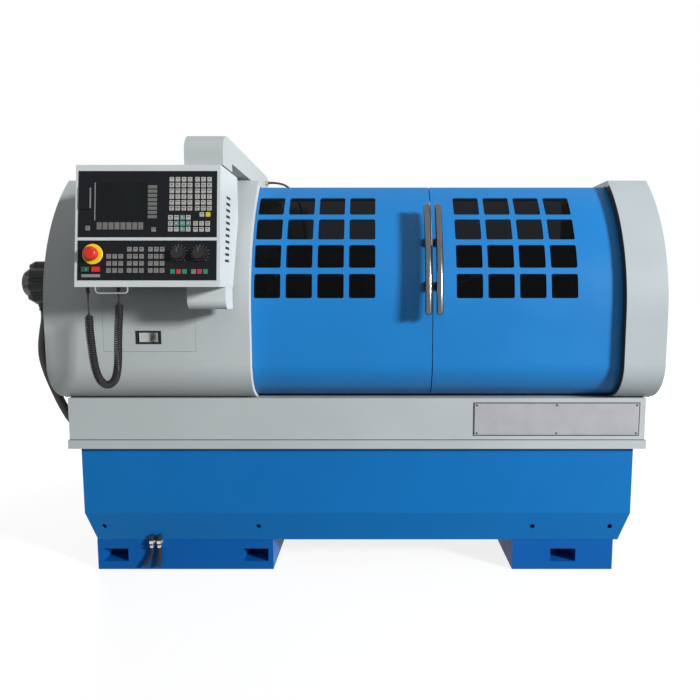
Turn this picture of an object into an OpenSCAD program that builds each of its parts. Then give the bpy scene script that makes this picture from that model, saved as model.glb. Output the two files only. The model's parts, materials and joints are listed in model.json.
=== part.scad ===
// Flat-bed CNC turning lathe with a curved sheet-metal enclosure, two sliding doors and a swivelling
// control panel. Millimetres, +X to the right along the bed, +Y to the back, +Z up from the floor.
// The origin is on the floor, below the middle of the whole machine.

/* [Base] */
// Height of the two feet
foot_h = 118; // [90:1:140]
// Height of the base tray
tray_h = 363; // [330:1:400]
// Height of the slanted band at the bottom of the tray
tray_slant_h = 115; // [80:1:140]
// How far the slanted band runs in
tray_slant = 30; // [15:1:33]
// Plate thickness of the tray
tray_t = 6; // [4:1:10]
// Height of the grey skirt on the tray
skirt_h = 184; // [160:1:210]
// Depth of the skirt from front to back
skirt_depth = 700; // [690:1:760]
// Overhang of the skirt over the tray
skirt_over = 20; // [10:1:30]
// Height of the raised rim at the bottom of the skirt
rim_h = 31; // [20:1:40]
// How far the rim stands proud
rim_proud = 5; // [3:1:8]
// Length of the left foot
left_foot_len = 661; // [560:1:700]
// Length of the right foot
right_foot_len = 377; // [330:1:400]
// Width of an anchor pocket in a foot
pocket_w = 95; // [70:1:110]
// Height of an anchor pocket
pocket_h = 50; // [40:1:60]
// Depth of an anchor pocket
pocket_d = 110; // [80:1:140]
// Thickness of the foot below a pocket
pocket_floor = 31; // [20:1:36]
// Diameter of an anchor bolt hole
anchor_d = 24; // [16:1:30]
// Diameter of the holes in the tray's slanted band
tray_hole_d = 18; // [10:1:24]

/* [Enclosure] */
// Length of the sheet-metal enclosure
enclosure_len = 2120; // [2100:1:2200]
// Length of the headstock cover
cover_len = 698; // [680:1:720]
// Length of the right end cap
cap_len = 141; // [138:1:160]
// Radius of the curved front
barrel_r = 650; // [630:1:670]
// Radius of the curl under the front
curl_r = 130; // [120:1:140]
// Height of the upright part of the front
front_flat = 166; // [150:1:180]
// Height of the top above the centre of the front's curve
top_rise = 489; // [480:1:500]
// Sheet thickness
sheet_t = 3; // [2:0.5:4]
// Depth of the turned-in lip at the open edges
lip = 26; // [15:1:27]
// Overhang of the enclosure past the skirt at each end
end_over = 25; // [15:1:35]
// Height of the guard at the back of the work zone
back_guard_h = 585; // [500:1:650]
// Length of the spindle guard outside the left end wall
guard_len = 237; // [200:1:260]
// Radius of the spindle guard where it meets the end wall
guard_r = 90; // [80:1:100]

/* [Doors] */
// Depth of the doors behind the enclosure's front
door_inset = 30; // [29:1:36]
// Width of the left door between the cover's lip and the seam
left_door_w = 626; // [600:1:640]
// How far a door tucks behind the lip
door_tuck = 8; // [6:1:10]
// Gap between the closed doors
seam_gap = 3; // [2:1:6]
// Door edge above the skirt's deck
door_lift = 5; // [4:1:8]
// Door top edge below the top of the enclosure
door_drop = 22; // [16:1:30]
// Width of a window
window_w = 91; // [60:1:95]
// Distance between window columns
window_pitch = 109; // [100:1:115]
// Height of a window along the curve, as an angle
window_angle = 7.8; // [5:0.1:8.5]
// Angle between window rows
row_angle = 9.8; // [9.2:0.1:10]
// Angle of the middle of the lowest window row
first_row_angle = 9.6; // [8:0.1:10]
// Corner radius of a window
window_corner = 7; // [3:1:12]
// Thickness of the window sheet
glazing_t = 4; // [3:1:5]
// Diameter of a handle bar
handle_d = 24; // [18:1:28]
// Gap between the door and the handle bar's middle
handle_gap = 55; // [40:1:60]
// Handle bar to seam
handle_off = 19; // [16:1:24]

/* [Bed and spindle] */
// Height of the spindle above the skirt's deck
spindle_up = 409; // [395:1:420]
// Swing over the bed, as a radius
swing_r = 210; // [200:1:215]
// Width of the bed
bed_w = 250; // [240:1:260]
// Height of the bed casting
bed_h = 264; // [240:1:280]
// Radius of the spindle
spindle_r = 55; // [45:1:60]
// Radius of the spindle's through bore
bore_r = 26; // [20:1:30]
// Radius of the chuck
chuck_r = 100; // [90:1:110]
// Length of the chuck body
chuck_len = 80; // [70:1:90]
// Width of a chuck jaw
jaw_w = 20; // [16:1:24]
// Radius of the tailstock quill
quill_r = 35; // [28:1:38]
// Radius of the spindle pulley
spindle_pulley_r = 100; // [90:1:110]
// Radius of the motor pulley
motor_pulley_r = 70; // [60:1:80]
// Radius of the main motor
motor_r = 115; // [100:1:120]
// Radius of the ball screw along the bed
screw_r = 12; // [10:1:16]
// Edge of the square tool turret
turret_w = 150; // [130:1:160]

/* [Control panel] */
// Width of the panel
panel_w = 439; // [436:1:460]
// Height of the panel
panel_h = 369; // [368:1:380]
// How far the panel's top leans back
panel_lean = 50; // [30:1:60]
// Depth of the panel at its bottom
panel_foot = 170; // [150:1:180]
// Depth of the panel at its top
panel_deep = 220; // [200:1:230]
// Width of the arm
arm_w = 120; // [100:1:130]
// Height of the arm's beam
arm_h = 73; // [60:1:90]
// Thickness of the fascia plates
fascia_t = 1.5; // [1:0.5:3]
// Edge of a square key
key = 14; // [10:1:15]
// Height of a key
key_t = 1.2; // [0.8:0.2:2]
// Diameter of the emergency stop's head
estop_d = 42; // [36:1:46]
// Height of the emergency stop's head
estop_h = 28; // [27:1:45]
// Diameter of a dial knob's skirt
knob_d = 46; // [36:1:48]
// Depth of the electrical cabinet with its door
cabinet_depth = 150; // [120:1:170]

/* [Hidden] */
$fn = 96;

// Running clearance between pieces that move on each other
gap = 0.3;

// Colours that several pieces share
base_blue = [0.10, 0.40, 0.70];
door_blue = [0.13, 0.47, 0.80];
grey = [0.68, 0.70, 0.70];
back_grey = [0.66, 0.68, 0.68];
black = [0.05, 0.05, 0.05];
cast_grey = [0.62, 0.65, 0.66];
cream = [0.86, 0.85, 0.78];
chrome = [0.78, 0.79, 0.80];
film = [0.07, 0.08, 0.10];

// Heights
tray_z = foot_h;
skirt_z = tray_z + tray_h;
deck_z = skirt_z + skirt_h;
curl_z = deck_z + curl_r;
curve_z = curl_z + front_flat;
top_z = curve_z + top_rise;
spindle_z = deck_z + spindle_up;
way_z = spindle_z - swing_r;
bed_z = way_z - bed_h;
tray_floor_z = tray_z + tray_t;

// Places along the machine
left_x = -enclosure_len / 2;
right_x = enclosure_len / 2;
cover_x = left_x + cover_len;
cap_x = right_x - cap_len;
seam_x = cover_x + left_door_w;
skirt_x = enclosure_len / 2 - end_over;
tray_end_in = 10;
tray_x = skirt_x - skirt_over - tray_end_in;
left_foot_in = 25;
left_foot_x = -tray_x + left_foot_in;
right_foot_in = 46;
right_foot_x = tray_x - right_foot_in;
outer_pocket_in = 20;
inner_pocket_in = 18;
right_pocket_in = 143;

// Places from front to back, from the front of the enclosure
skirt_y = 80;
back_y = skirt_y + skirt_depth;
tray_y = skirt_y + skirt_over;
tray_back_y = back_y - skirt_over;
foot_in = 3;
foot_y = tray_y + tray_slant + foot_in;
foot_back_y = tray_back_y - tray_slant - foot_in;
foot_wall = 25;
deck_w = 120;
spindle_back = 140;
spindle_y = skirt_y + deck_w + spindle_back;
bed_y = spindle_y - bed_w / 2;
bed_back_y = spindle_y + bed_w / 2;
cabinet_back_y = back_y + cabinet_depth;
cabinet_door_t = 25;
cabinet_split_y = cabinet_back_y - cabinet_door_t;

// Control panel
arm_in = 42;
arm_x = cover_x - arm_in;
panel_x = arm_x - panel_w;
panel_drop = 389;
panel_z = top_z - panel_drop;
panel_top_z = panel_z + panel_h;
panel_y = -215;
panel_back_y = panel_y + panel_foot;
panel_tilt = atan(panel_lean / panel_h);
swivel_x = arm_x - arm_w / 2;
swivel_back = 141;
swivel_y = panel_y + swivel_back;
swivel_gap = 5;
arm_z = panel_top_z + swivel_gap;
pivot_r = 20;
pivot_h = 50;
beam_up = 12;
beam_z = top_z + beam_up;
arm_top_z = beam_z + arm_h;
arm_short = 140;
arm_back_y = back_y - arm_short;
estop_at = [54.6, 99.2];
start_at = [34.5, 52.4];
stop_at = [66, 52.4];
button_size = [23, 15];
knob_at = [[314.5, 100], [378.8, 100]];
stem_d = 22;
knob_shaft_d = 10;
stem_in = 9;
bore_in = 24;

// Middle of the whole machine, from the spindle guard to the end cap and from the stop button to the cabinet
estop_y = panel_y + estop_at[1] * sin(panel_tilt) - (fascia_t + estop_h) * cos(panel_tilt)
    - estop_d / 2 * sin(panel_tilt);
mid_x = (left_x - guard_len + right_x) / 2;
mid_y = (estop_y + cabinet_back_y) / 2;

// Doors
door_z = deck_z + door_lift;
door_top_z = top_z - door_drop;
door_r = barrel_r - door_inset;
left_door_x = cover_x - door_tuck;
right_door_x1 = cap_x + door_tuck;
rail_off = 10;
rail_y = door_inset + curl_z - door_z + rail_off;
rail_w = 20;
top_rail_off = 13;
top_rail_y = barrel_r - sqrt(door_r * door_r - pow(door_top_z - curve_z, 2)) + top_rail_off;
top_rail_w = 40;
top_rail_h = 40;
left_window_in = 10;
left_window_x = cover_x + left_window_in;
right_window_in = 82;
right_window_x = seam_x + right_window_in;
columns = 4;
rows = 4;
glazing_up = 44;
glazing_h = 396;
glazing_z = [curve_z + glazing_up, curve_z + glazing_up + glazing_h];

// Drive train
pulley_in = 80;
pulley_x = left_x + pulley_in;
pulley_w = 100;
headstock_gap = 30;
headstock_x = pulley_x + pulley_w + headstock_gap;
headstock_in = 88;
headstock_x1 = cover_x - headstock_in;
nose_len = 30;
chuck_x = headstock_x1 + nose_len;
chuck_x1 = chuck_x + chuck_len;
jaw_slot = 25;
jaw_in = 14;
motor_gap = 9;
motor_y = tray_back_y - tray_t - motor_r - motor_gap;
motor_up = 61;
motor_z = tray_floor_z + motor_r + motor_up;
motor_shaft_r = 19;
motor_off = 40;
motor_len = 320;
motor_shaft_in = 30;
belt_t = 6;
belt_gap = 1;
bed_x = pulley_x + pulley_w;
bed_in = 160;
bed_x1 = right_x - bed_in;
screw_off = 5;
screw_y = bed_y - screw_off;
screw_down = 64;
screw_z = way_z - screw_down;
support_in = 120;
support_len = 30;
screw_support = [chuck_x1 - support_in, chuck_x1 - support_in + support_len];

// Slides and tailstock
saddle_off = 180;
saddle_x = chuck_x1 + saddle_off;
saddle_len = 220;
saddle_h = 46;
rail_z = way_z + saddle_h;
turret_x = saddle_x + saddle_len / 2;
turret_off = 125;
turret_y = spindle_y - turret_off;
rail_h = 20;
slide_z = rail_z + rail_h;
slide_h = 35;
turret_z = slide_z + slide_h;
tailstock_in = 420;
tailstock_x = bed_x1 - tailstock_in;
tailstock_len = 240;
barrel_len = 280;
screw_end_r = 12;
centre_r = 16;

// Where the curl under the front ends
curl_end = curl_r + 20;

// Access flap in the headstock cover
flap_in = 199;
flap_w = 315;
flap_x = [left_x + flap_in, left_x + flap_in + flap_w];
flap_up = 46;
flap_h = 239;
flap_z = [curl_z + flap_up, curl_z + flap_up + flap_h];
flap_gap = 0.8;
latch_in = 111;
latch_w = 87;
latch_x = [flap_x[0] + latch_in, flap_x[0] + latch_in + latch_w];
latch_up = 26;
latch_h = 46;
latch_z = [flap_z[0] + latch_up, flap_z[0] + latch_up + latch_h];
latch_depth = 16;

// Hinges: the flap's are on the sheet's outer edge, the cabinet door's beside the split in its left wall
barrel_gap = 0.5;
flap_hinge_r = 3.5;
flap_hinge_y = barrel_r - sqrt(barrel_r * barrel_r - pow(flap_z[1] - curve_z, 2));
flap_hinge_len = 20;
flap_hinges = [flap_x[0] + 60, flap_x[1] - 60];
cabinet_in = 60;
cabinet_past = 110;
cabinet_x = [left_x + cabinet_in, cover_x + cabinet_past];
cabinet_up = 13;
cabinet_down = 30;
cabinet_z = [skirt_z + rim_h + cabinet_up, top_z - cabinet_down];
cabinet_hinge_r = 8;
cabinet_hinge_x = cabinet_x[0] - cabinet_hinge_r + 1;
cabinet_hinge_y = cabinet_split_y + gap / 2;
cabinet_hinge_len = 40;
cabinet_hinges = [cabinet_z[0] + 120, cabinet_z[1] - 120];

// Fascia plates, from the lower left corner of the panel's face
fascia_margin = 9.5;
screen_x = [66, 217];
screen_z = [202, 317];
screen_in = 0.6;
display_z = [151, 353];
machine_z = [20, 141];
port_x = [12, 50];
port_z = [236, 303];
port_h = 3;
button_h = 6;
knob_skirt_h = 5;
knob_h = 20;
knob_step = 6;

// Key grids: first key's middle, count across and down, pitch across and down
display_grids = [
    [292.3, 327.4, 4, 6, 18.4, 17.7], [370, 327.4, 3, 6, 18.2, 17.7], [384, 220, 2, 1, 18.8, 18],
    [289, 211, 4, 3, 18, 18], [365, 192.6, 3, 2, 18.4, 18.4], [39, 178, 1, 1, 18, 18],
    [238.5, 174, 1, 1, 18, 18]
];
machine_grids = [
    [103.7, 92.4, 3, 3, 18.3, 21.5], [166, 114, 3, 4, 18.4, 21.5], [229.7, 114, 3, 4, 17.7, 21.5],
    [297, 46.5, 3, 1, 18, 18], [360.5, 46.5, 3, 1, 18, 18]
];
soft_keys = 8;
side_key = [28, 10];
side_key_at = [220, 208];
side_key_pitch = 13;
low_key = [15, 22];
low_key_at = [66, 174];
low_key_pitch = 18;

// Cord routes, from the left end of the enclosure's front
function from_left(points) = [for (p = points) p + [left_x, 0, 0]];
hose_d = 33;
hose_route = from_left([
    [-180, 340, 968], [-180, 340, 940], [-190, 340, 885], [-198, 340, 830], [-197, 340, 780],
    [-186, 340, 730], [-169, 340, 680], [-149, 340, 630], [-126, 340, 580], [-99, 340, 533],
    [-66, 340, 494], [-28, 340, 466], [15, 340, 454], [43, 340, 454]
]);
tail_d = 12.5;
tail_a_route = from_left([
    [291, 120, 100], [291, 120, 80], [286, 118.5, 60], [276, 116.5, 40], [263, 115, 21]
]);
tail_b_route = from_left([[319, 120, 100], [319, 120, 80], [318, 119, 60], [316, 118, 40], [314, 117, 20]]);
spigot_h = 40;
gland_h = 16;
gland_wall = 4;
small_gland_wall = 3;
cable_d = 9;
cable_route = from_left([
    [668, 600, 1505], [686, 600, 1505], [708, 607, 1504], [730, 620, 1500], [752, 636, 1487],
    [770, 655, 1466], [784, 675, 1438], [794, 693, 1404], [800, 707, 1366], [804, 720, 1328],
    [807, 733, 1292], [809, 747, 1264], [809, 747, 1238]
]);
lead_d = 5;
lead_a_route = from_left([[226, -150, 1041], [226, -150, 1020], [226, -150, 998], [226, -150, 976]]);
lead_b_route = from_left([[322, -150, 1012], [322, -150, 1027], [322, -150, 1041]]);
coil_d = 26;
coil_route = from_left([
    [226, -150, 976], [226, -150, 930], [229, -150, 885], [233, -150, 838], [240, -150, 796],
    [252, -150, 766], [269, -150, 752], [286, -150, 755], [300, -150, 771], [308, -150, 801],
    [312, -150, 843], [314, -150, 890], [317, -150, 935], [321, -150, 978], [322, -150, 1012]
]);

// Moves a piece from the front-of-enclosure frame to the machine's own origin
module place() {
    translate([-mid_x, -mid_y, 0]) children();
}

// Box between two limits on each axis
module block(x, y, z) {
    translate([x[0], y[0], z[0]]) cube([x[1] - x[0], y[1] - y[0], z[1] - z[0]]);
}

// Extrudes a side view (back, up) along the machine
module along_x(x0, x1) {
    translate([x0, 0, 0]) rotate([90, 0, 90]) linear_extrude(x1 - x0) children();
}

// Round bar along the machine
module rod_x(x0, x1, y, z, r) {
    translate([x0, y, z]) rotate([0, 90, 0]) cylinder(h = x1 - x0, r = r);
}

// Round bar from front to back
module rod_y(x, y0, y1, z, r) {
    translate([x, y0, z]) rotate([-90, 0, 0]) cylinder(h = y1 - y0, r = r);
}

// Upright round bar
module rod_z(x, y, z0, z1, r) {
    translate([x, y, z0]) cylinder(h = z1 - z0, r = r);
}

// Rounded rectangle about the origin
module rounded(w, h, r) {
    square([w - 2 * r, h], center = true);
    square([w, h - 2 * r], center = true);
    for (sx = [-1, 1], sy = [-1, 1])
        translate([sx * (w / 2 - r), sy * (h / 2 - r)]) circle(r, $fn = 24);
}

// Side view of the curved enclosure: curl, upright front, large curve and flat top
module barrel_side(inset, bottom_z, roof_z, back) {
    low_r = curl_z - bottom_z;
    big_r = barrel_r - inset;
    intersection() {
        translate([barrel_r, curve_z]) circle(big_r, $fn = 180);
        translate([inset, curve_z]) square([min(back - inset, big_r), roof_z - curve_z]);
    }
    if (back > barrel_r)
        translate([barrel_r, curve_z]) square([back - barrel_r, roof_z - curve_z]);
    translate([inset, curl_z]) square([back - inset, curve_z - curl_z]);
    intersection() {
        translate([inset + low_r, curl_z]) circle(low_r);
        translate([inset, bottom_z]) square([low_r, low_r]);
    }
    translate([inset + low_r, bottom_z]) square([back - inset - low_r, low_r]);
}

// Side view of a sheet that follows the enclosure, open at the back and behind the curl
module sheet_side(inset, bottom_z, roof_z, t, top_end, low_end) {
    difference() {
        barrel_side(inset, bottom_z, roof_z, top_end);
        barrel_side(inset + t, bottom_z + t, roof_z - t, top_end + 10);
        translate([low_end, bottom_z - 1]) square([top_end, curl_z - bottom_z]);
    }
}

// Side view of the turned-in lip, clear of the doors that slide past it
module lip_side() {
    difference() {
        barrel_side(0, deck_z, top_z, back_y);
        barrel_side(lip, deck_z + lip, door_top_z + 4, back_y + 10);
        translate([-1, deck_z - 1]) square([back_y + 10, curl_r + 1]);
    }
}

// Places pieces on the panel's leaning face: right, out of the face as -Y, and up the face
module on_face() {
    translate([panel_x, panel_y, panel_z]) rotate([-panel_tilt, 0, 0]) children();
}

// Tube swept along a route
function unit(v) = v / norm(v);
function tangent(route, i) =
    unit(route[min(i + 1, len(route) - 1)] - route[max(i - 1, 0)]);
function side_of(t) = unit(cross(t, [0, 1, 0.001]));
function ring(p, t, r, n) =
    [for (k = [0:n - 1]) p + r * (cos(360 * k / n) * side_of(t) + sin(360 * k / n) * cross(t, side_of(t)))];
module tube(route, d, n) {
    rings = [for (i = [0:len(route) - 1]) ring(route[i], tangent(route, i), d / 2, n)];
    last = (len(route) - 1) * n;
    polyhedron(
        points = [for (one = rings) for (p = one) p],
        faces = concat(
            [[for (k = [0:n - 1]) k]],
            [for (i = [0:len(route) - 2], k = [0:n - 1])
                [i * n + k, (i + 1) * n + k, (i + 1) * n + (k + 1) % n, i * n + (k + 1) % n]],
            [[for (k = [n - 1:-1:0]) last + k]]
        )
    );
}

// Hollow foot with anchor pockets at the front and the back
module foot(x0, x1, pockets, hollow) {
    pocket_z = [pocket_floor, pocket_floor + pocket_h];
    difference() {
        block([x0, x1], [foot_y, foot_back_y], [0, foot_h]);
        block(hollow, [foot_y + foot_wall, foot_back_y - foot_wall], [-1, foot_h - foot_wall]);
        for (px = pockets) {
            block([px, px + pocket_w], [foot_y - 1, foot_y + pocket_d], pocket_z);
            block([px, px + pocket_w], [foot_back_y - pocket_d, foot_back_y + 1], pocket_z);
            for (y = [foot_y + pocket_d / 2, foot_back_y - pocket_d / 2])
                rod_z(px + pocket_w / 2, y, -1, pocket_floor + 1, anchor_d / 2);
        }
    }
}

module left_foot() {
    x1 = left_foot_x + left_foot_len;
    outer = left_foot_x + outer_pocket_in;
    inner = x1 - inner_pocket_in - pocket_w;
    color(base_blue) place()
        foot(left_foot_x, x1, [outer, inner], [outer + pocket_w + foot_wall, inner - foot_wall]);
}

module right_foot() {
    x0 = right_foot_x - right_foot_len;
    color(base_blue) place()
        foot(x0, right_foot_x, [x0 + right_pocket_in], [x0 + foot_wall, x0 + right_pocket_in - foot_wall]);
}

module tray_form(inset, z0, z1) {
    slant_z = tray_z + tray_slant_h;
    intersection() {
        along_x(-tray_x, tray_x) polygon([
            [tray_y + inset, z1], [tray_y + inset, slant_z], [tray_y + tray_slant + inset, z0],
            [tray_back_y - tray_slant - inset, z0], [tray_back_y - inset, slant_z], [tray_back_y - inset, z1]
        ]);
        translate([0, back_y, 0]) rotate([90, 0, 0]) linear_extrude(skirt_depth) polygon([
            [-tray_x + inset, z1], [-tray_x + inset, slant_z], [-tray_x + tray_slant + inset, z0],
            [tray_x - tray_slant - inset, z0], [tray_x - inset, slant_z], [tray_x - inset, z1]
        ]);
    }
}

module base_tray() {
    hole_z = tray_z + tray_slant_h / 2;
    holes = [-tray_x + 62, -tray_x + 636, tray_x - 355, tray_x - 67];
    color(base_blue) place() difference() {
        tray_form(0, tray_z, skirt_z);
        tray_form(tray_t, tray_floor_z, skirt_z + 1);
        for (x = holes)
            rod_y(x, tray_y - 1, tray_y + tray_slant + tray_t + 1, hole_z, tray_hole_d / 2);
    }
}

module skirt() {
    belt_slot = [spindle_y + 40, motor_y - 20];
    color(grey) place() difference() {
        union() {
            block([-skirt_x, skirt_x], [skirt_y, back_y], [skirt_z, deck_z]);
            block([-skirt_x - rim_proud, skirt_x + rim_proud], [skirt_y - rim_proud, back_y + rim_proud],
                [skirt_z, skirt_z + rim_h]);
        }
        block([-skirt_x + sheet_t, skirt_x - sheet_t], [skirt_y + sheet_t, back_y - sheet_t],
            [skirt_z + sheet_t, deck_z - sheet_t]);
        block([-skirt_x + deck_w, skirt_x - deck_w], [skirt_y + deck_w, back_y - deck_w],
            [deck_z - sheet_t - 1, deck_z + 1]);
        block([pulley_x, -skirt_x + deck_w + 1], belt_slot, [deck_z - sheet_t - 1, deck_z + 1]);
        block([-tray_x + tray_t, tray_x - tray_t], [tray_y + tray_t, tray_back_y - tray_t],
            [skirt_z - 1, skirt_z + sheet_t + 1]);
    }
}

module pedestal(x0, x1) {
    wall = 22;
    difference() {
        block([x0, x1], [bed_y, bed_back_y], [tray_floor_z, bed_z]);
        block([x0 + wall, x1 - wall], [bed_y + wall, bed_back_y - wall], [tray_floor_z - 1, bed_z + 1]);
    }
}

module pedestals() {
    left_len = 400;
    right_len = 340;
    color([0.30, 0.32, 0.33]) place() {
        pedestal(bed_x, bed_x + left_len);
        pedestal(bed_x1 - right_len, bed_x1);
    }
}

// Bed with a vee way in front and a flat way behind, joined by cross ribs, with windows for the chips
module bed() {
    wall = 30;
    wall_in = 10;
    way_h = 44;
    way_w = 50;
    vee = 15;
    vee_h = 14;
    foot_t = 30;
    rib_gap = 290;
    window_in = 110;
    window_len = 110;
    window_up = 60;
    window_tall = 90;
    front = bed_y + 15;
    back = bed_back_y - 15;
    color([0.36, 0.38, 0.39]) place() difference() {
        union() {
            along_x(bed_x, bed_x1) {
                translate([bed_y, bed_z]) square([bed_w, foot_t]);
                translate([front + wall_in, bed_z]) square([wall, bed_h - wall_in]);
                translate([back - wall_in - wall, bed_z]) square([wall, bed_h - wall_in]);
                polygon([
                    [front, way_z - way_h], [front, way_z - vee_h], [front + vee, way_z],
                    [front + way_w - vee, way_z], [front + way_w, way_z - vee_h],
                    [front + way_w, way_z - way_h]
                ]);
                translate([back - way_w, way_z - way_h]) square([way_w, way_h]);
            }
            for (x = [bed_x:rib_gap:bed_x1 - wall])
                block([x, x + wall], [front + wall_in + 2, back - wall_in - 2], [bed_z + 5, way_z - way_h]);
            block(screw_support, [screw_y - 25, front + wall_in + 5], [screw_z - 30, screw_z + 20]);
        }
        for (x = [bed_x + rib_gap:rib_gap:bed_x1 - rib_gap])
            block([x + window_in, x + window_in + window_len], [bed_y - 1, bed_back_y + 1],
                [bed_z + window_up, bed_z + window_up + window_tall]);
    }
}

module headstock() {
    side_r = bed_w / 2 + 10;
    flange_in = 40;
    flange_out = 12;
    flange_h = 36;
    color(cast_grey) place() difference() {
        union() {
            along_x(headstock_x, headstock_x1) {
                translate([spindle_y - side_r, way_z]) square([2 * side_r, swing_r]);
                translate([spindle_y, spindle_z]) circle(side_r);
            }
            block([headstock_x + flange_in, headstock_x1 - flange_in],
                [spindle_y - side_r - flange_out, spindle_y + side_r + flange_out],
                [way_z, way_z + flange_h]);
        }
        rod_x(headstock_x - 1, headstock_x1 + 1, spindle_y, spindle_z, spindle_r + gap);
    }
}

// Hinge barrels about an axis along the machine: the outer pair or the one between them
module flap_barrels(outer, grow) {
    half = flap_hinge_len / 2;
    r = flap_hinge_r + grow;
    for (x = flap_hinges) {
        if (outer) {
            rod_x(x - 3 * half - grow, x - half - barrel_gap + grow, flap_hinge_y, flap_z[1], r);
            rod_x(x + half + barrel_gap - grow, x + 3 * half + grow, flap_hinge_y, flap_z[1], r);
        } else {
            rod_x(x - half - grow, x + half + grow, flap_hinge_y, flap_z[1], r);
        }
    }
}

// Sheet-metal enclosure
module headstock_cover() {
    color(grey) place() union() {
        difference() {
            union() {
                along_x(left_x, cover_x)
                    sheet_side(0, deck_z, top_z, sheet_t, back_y, curl_end);
                along_x(left_x, left_x + sheet_t) barrel_side(0, deck_z, top_z, back_y);
                along_x(cover_x - sheet_t, cover_x) lip_side();
            }
            block(flap_x, [-1, barrel_r / 4], flap_z);
            flap_barrels(true, barrel_gap);
            rod_x(left_x - 1, left_x + sheet_t + 1, spindle_y, spindle_z, spindle_r + 10);
        }
        flap_barrels(false, 0);
    }
}

module end_cap() {
    color(grey) place() union() {
        along_x(cap_x, right_x) sheet_side(0, deck_z, top_z, sheet_t, back_y, curl_end);
        along_x(right_x - sheet_t, right_x) barrel_side(0, deck_z, top_z, back_y);
        along_x(cap_x, cap_x + sheet_t) lip_side();
    }
}

module rear_guard() {
    inner_x = [left_x + sheet_t, right_x - sheet_t];
    guard_z = deck_z + back_guard_h;
    shelf = 60;
    y = [back_y - sheet_t, back_y];
    end = cable_route[len(cable_route) - 1];
    color(back_grey) place() difference() {
        union() {
            block(inner_x, y, [deck_z, guard_z]);
            block([inner_x[0], cover_x - sheet_t], y, [guard_z, top_z - sheet_t]);
            block([cap_x + sheet_t, inner_x[1]], y, [guard_z, top_z - sheet_t]);
            block([cover_x, cap_x], [back_y - shelf, back_y], [guard_z - sheet_t, guard_z]);
        }
        rod_z(end[0], end[1], guard_z - sheet_t - 1, guard_z + 1, cable_d / 2 + small_gland_wall);
    }
}

module door_rails() {
    inner_x = [left_x + sheet_t, right_x - sheet_t];
    top = door_top_z - sheet_t - gap;
    wall = 4;
    color([0.75, 0.76, 0.77]) place() {
        difference() {
            block(inner_x, [top_rail_y, top_rail_y + top_rail_w], [top - top_rail_h, top]);
            block([inner_x[0] - 1, inner_x[1] + 1], [top_rail_y + wall, top_rail_y + top_rail_w - wall],
                [top - top_rail_h - 1, top - wall]);
        }
        block(inner_x, [rail_y, rail_y + rail_w], [deck_z, door_z - gap]);
    }
}

// Lobed black guard with a domed end around the rear end of the spindle
module spindle_guard() {
    wall = 4;
    lobes = 9;
    lobe_r = 22;
    lobe_in = 46;
    lobe_cone = 22;
    core_r = guard_r - 13;
    collar_len = 70;
    dome_len = 40;
    end_r = 50;
    end_x = left_x - guard_len;
    top = hose_route[0];
    color(black) place() difference() {
        union() {
            rod_x(end_x + dome_len, left_x, spindle_y, spindle_z, core_r);
            translate([end_x, spindle_y, spindle_z]) rotate([0, 90, 0]) {
                cylinder(h = dome_len, r1 = end_r, r2 = core_r);
                for (k = [0:lobes - 1]) rotate(360 * k / lobes) translate([guard_r - lobe_r, 0, lobe_in]) {
                    cylinder(h = guard_len - collar_len - lobe_in, r = lobe_r, $fn = 48);
                    translate([0, 0, -lobe_cone])
                        cylinder(h = lobe_cone, r1 = lobe_r / 2, r2 = lobe_r, $fn = 48);
                }
            }
            rod_z(top[0], spindle_y, top[2] + gland_h, spindle_z, hose_d / 2 + gland_wall + 2);
        }
        rod_x(end_x + wall, left_x + 1, spindle_y, spindle_z, end_r - wall);
    }
}

// Glands at both ends of the big hose and of the cable, and spigots above the drain hoses
module hose_fittings() {
    top = hose_route[0];
    low = hose_route[len(hose_route) - 1];
    first = cable_route[0];
    end = cable_route[len(cable_route) - 1];
    clip_h = 30;
    clip_w = 24;
    clip_d = 8;
    color([0.08, 0.08, 0.09]) place() {
        rod_z(top[0], spindle_y, top[2], top[2] + gland_h, hose_d / 2 + gland_wall);
        rod_x(low[0], -tray_x, spindle_y, low[2], hose_d / 2 + gland_wall);
        rod_x(arm_x, first[0], first[1], first[2], cable_d / 2 + small_gland_wall);
        rod_z(end[0], end[1], end[2] - clip_h, end[2], cable_d / 2 + small_gland_wall);
        block([end[0] - clip_w / 2, end[0] + clip_w / 2], [end[1] - clip_d, back_y - sheet_t],
            [end[2] - 2 * clip_h, end[2] - clip_h]);
        for (route = [tail_a_route, tail_b_route])
            rod_z(route[0][0], route[0][1], route[0][2], route[0][2] + spigot_h, tail_d / 2 + 1.5);
    }
}

module drain_hose() {
    color(black) place() tube(hose_route, hose_d, 12);
}

module drain_tail_a() {
    color([0.06, 0.06, 0.06]) place() tube(tail_a_route, tail_d, 10);
}

module drain_tail_b() {
    color([0.06, 0.06, 0.06]) place() tube(tail_b_route, tail_d, 10);
}

// Drive
module main_motor() {
    x0 = pulley_x + pulley_w + motor_off;
    x1 = x0 + motor_len;
    boss_len = 12;
    boss_r = motor_r - 25;
    foot_end = 40;
    foot_side = 25;
    fin_gap = 15;
    fin_w = 3;
    fin_deep = 8;
    color([0.20, 0.22, 0.24]) place() difference() {
        union() {
            rod_x(x0, x1, motor_y, motor_z, motor_r);
            rod_x(x0 - boss_len, x0 + 1, motor_y, motor_z, boss_r);
            block([x0 + foot_end, x1 - foot_end],
                [motor_y - motor_r + foot_side, motor_y + motor_r - foot_side],
                [tray_floor_z, motor_z - motor_r + foot_end]);
        }
        rod_x(x0 - boss_len - 1, x0 + foot_end, motor_y, motor_z, motor_shaft_r + gap);
        for (a = [2 * fin_gap:fin_gap:360 - 2 * fin_gap])
            translate([0, motor_y, motor_z]) rotate([a + 180, 0, 0])
                block([x0 + 30, x1 - 30], [-fin_w, fin_w], [motor_r - fin_deep, motor_r + 1]);
    }
}

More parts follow.
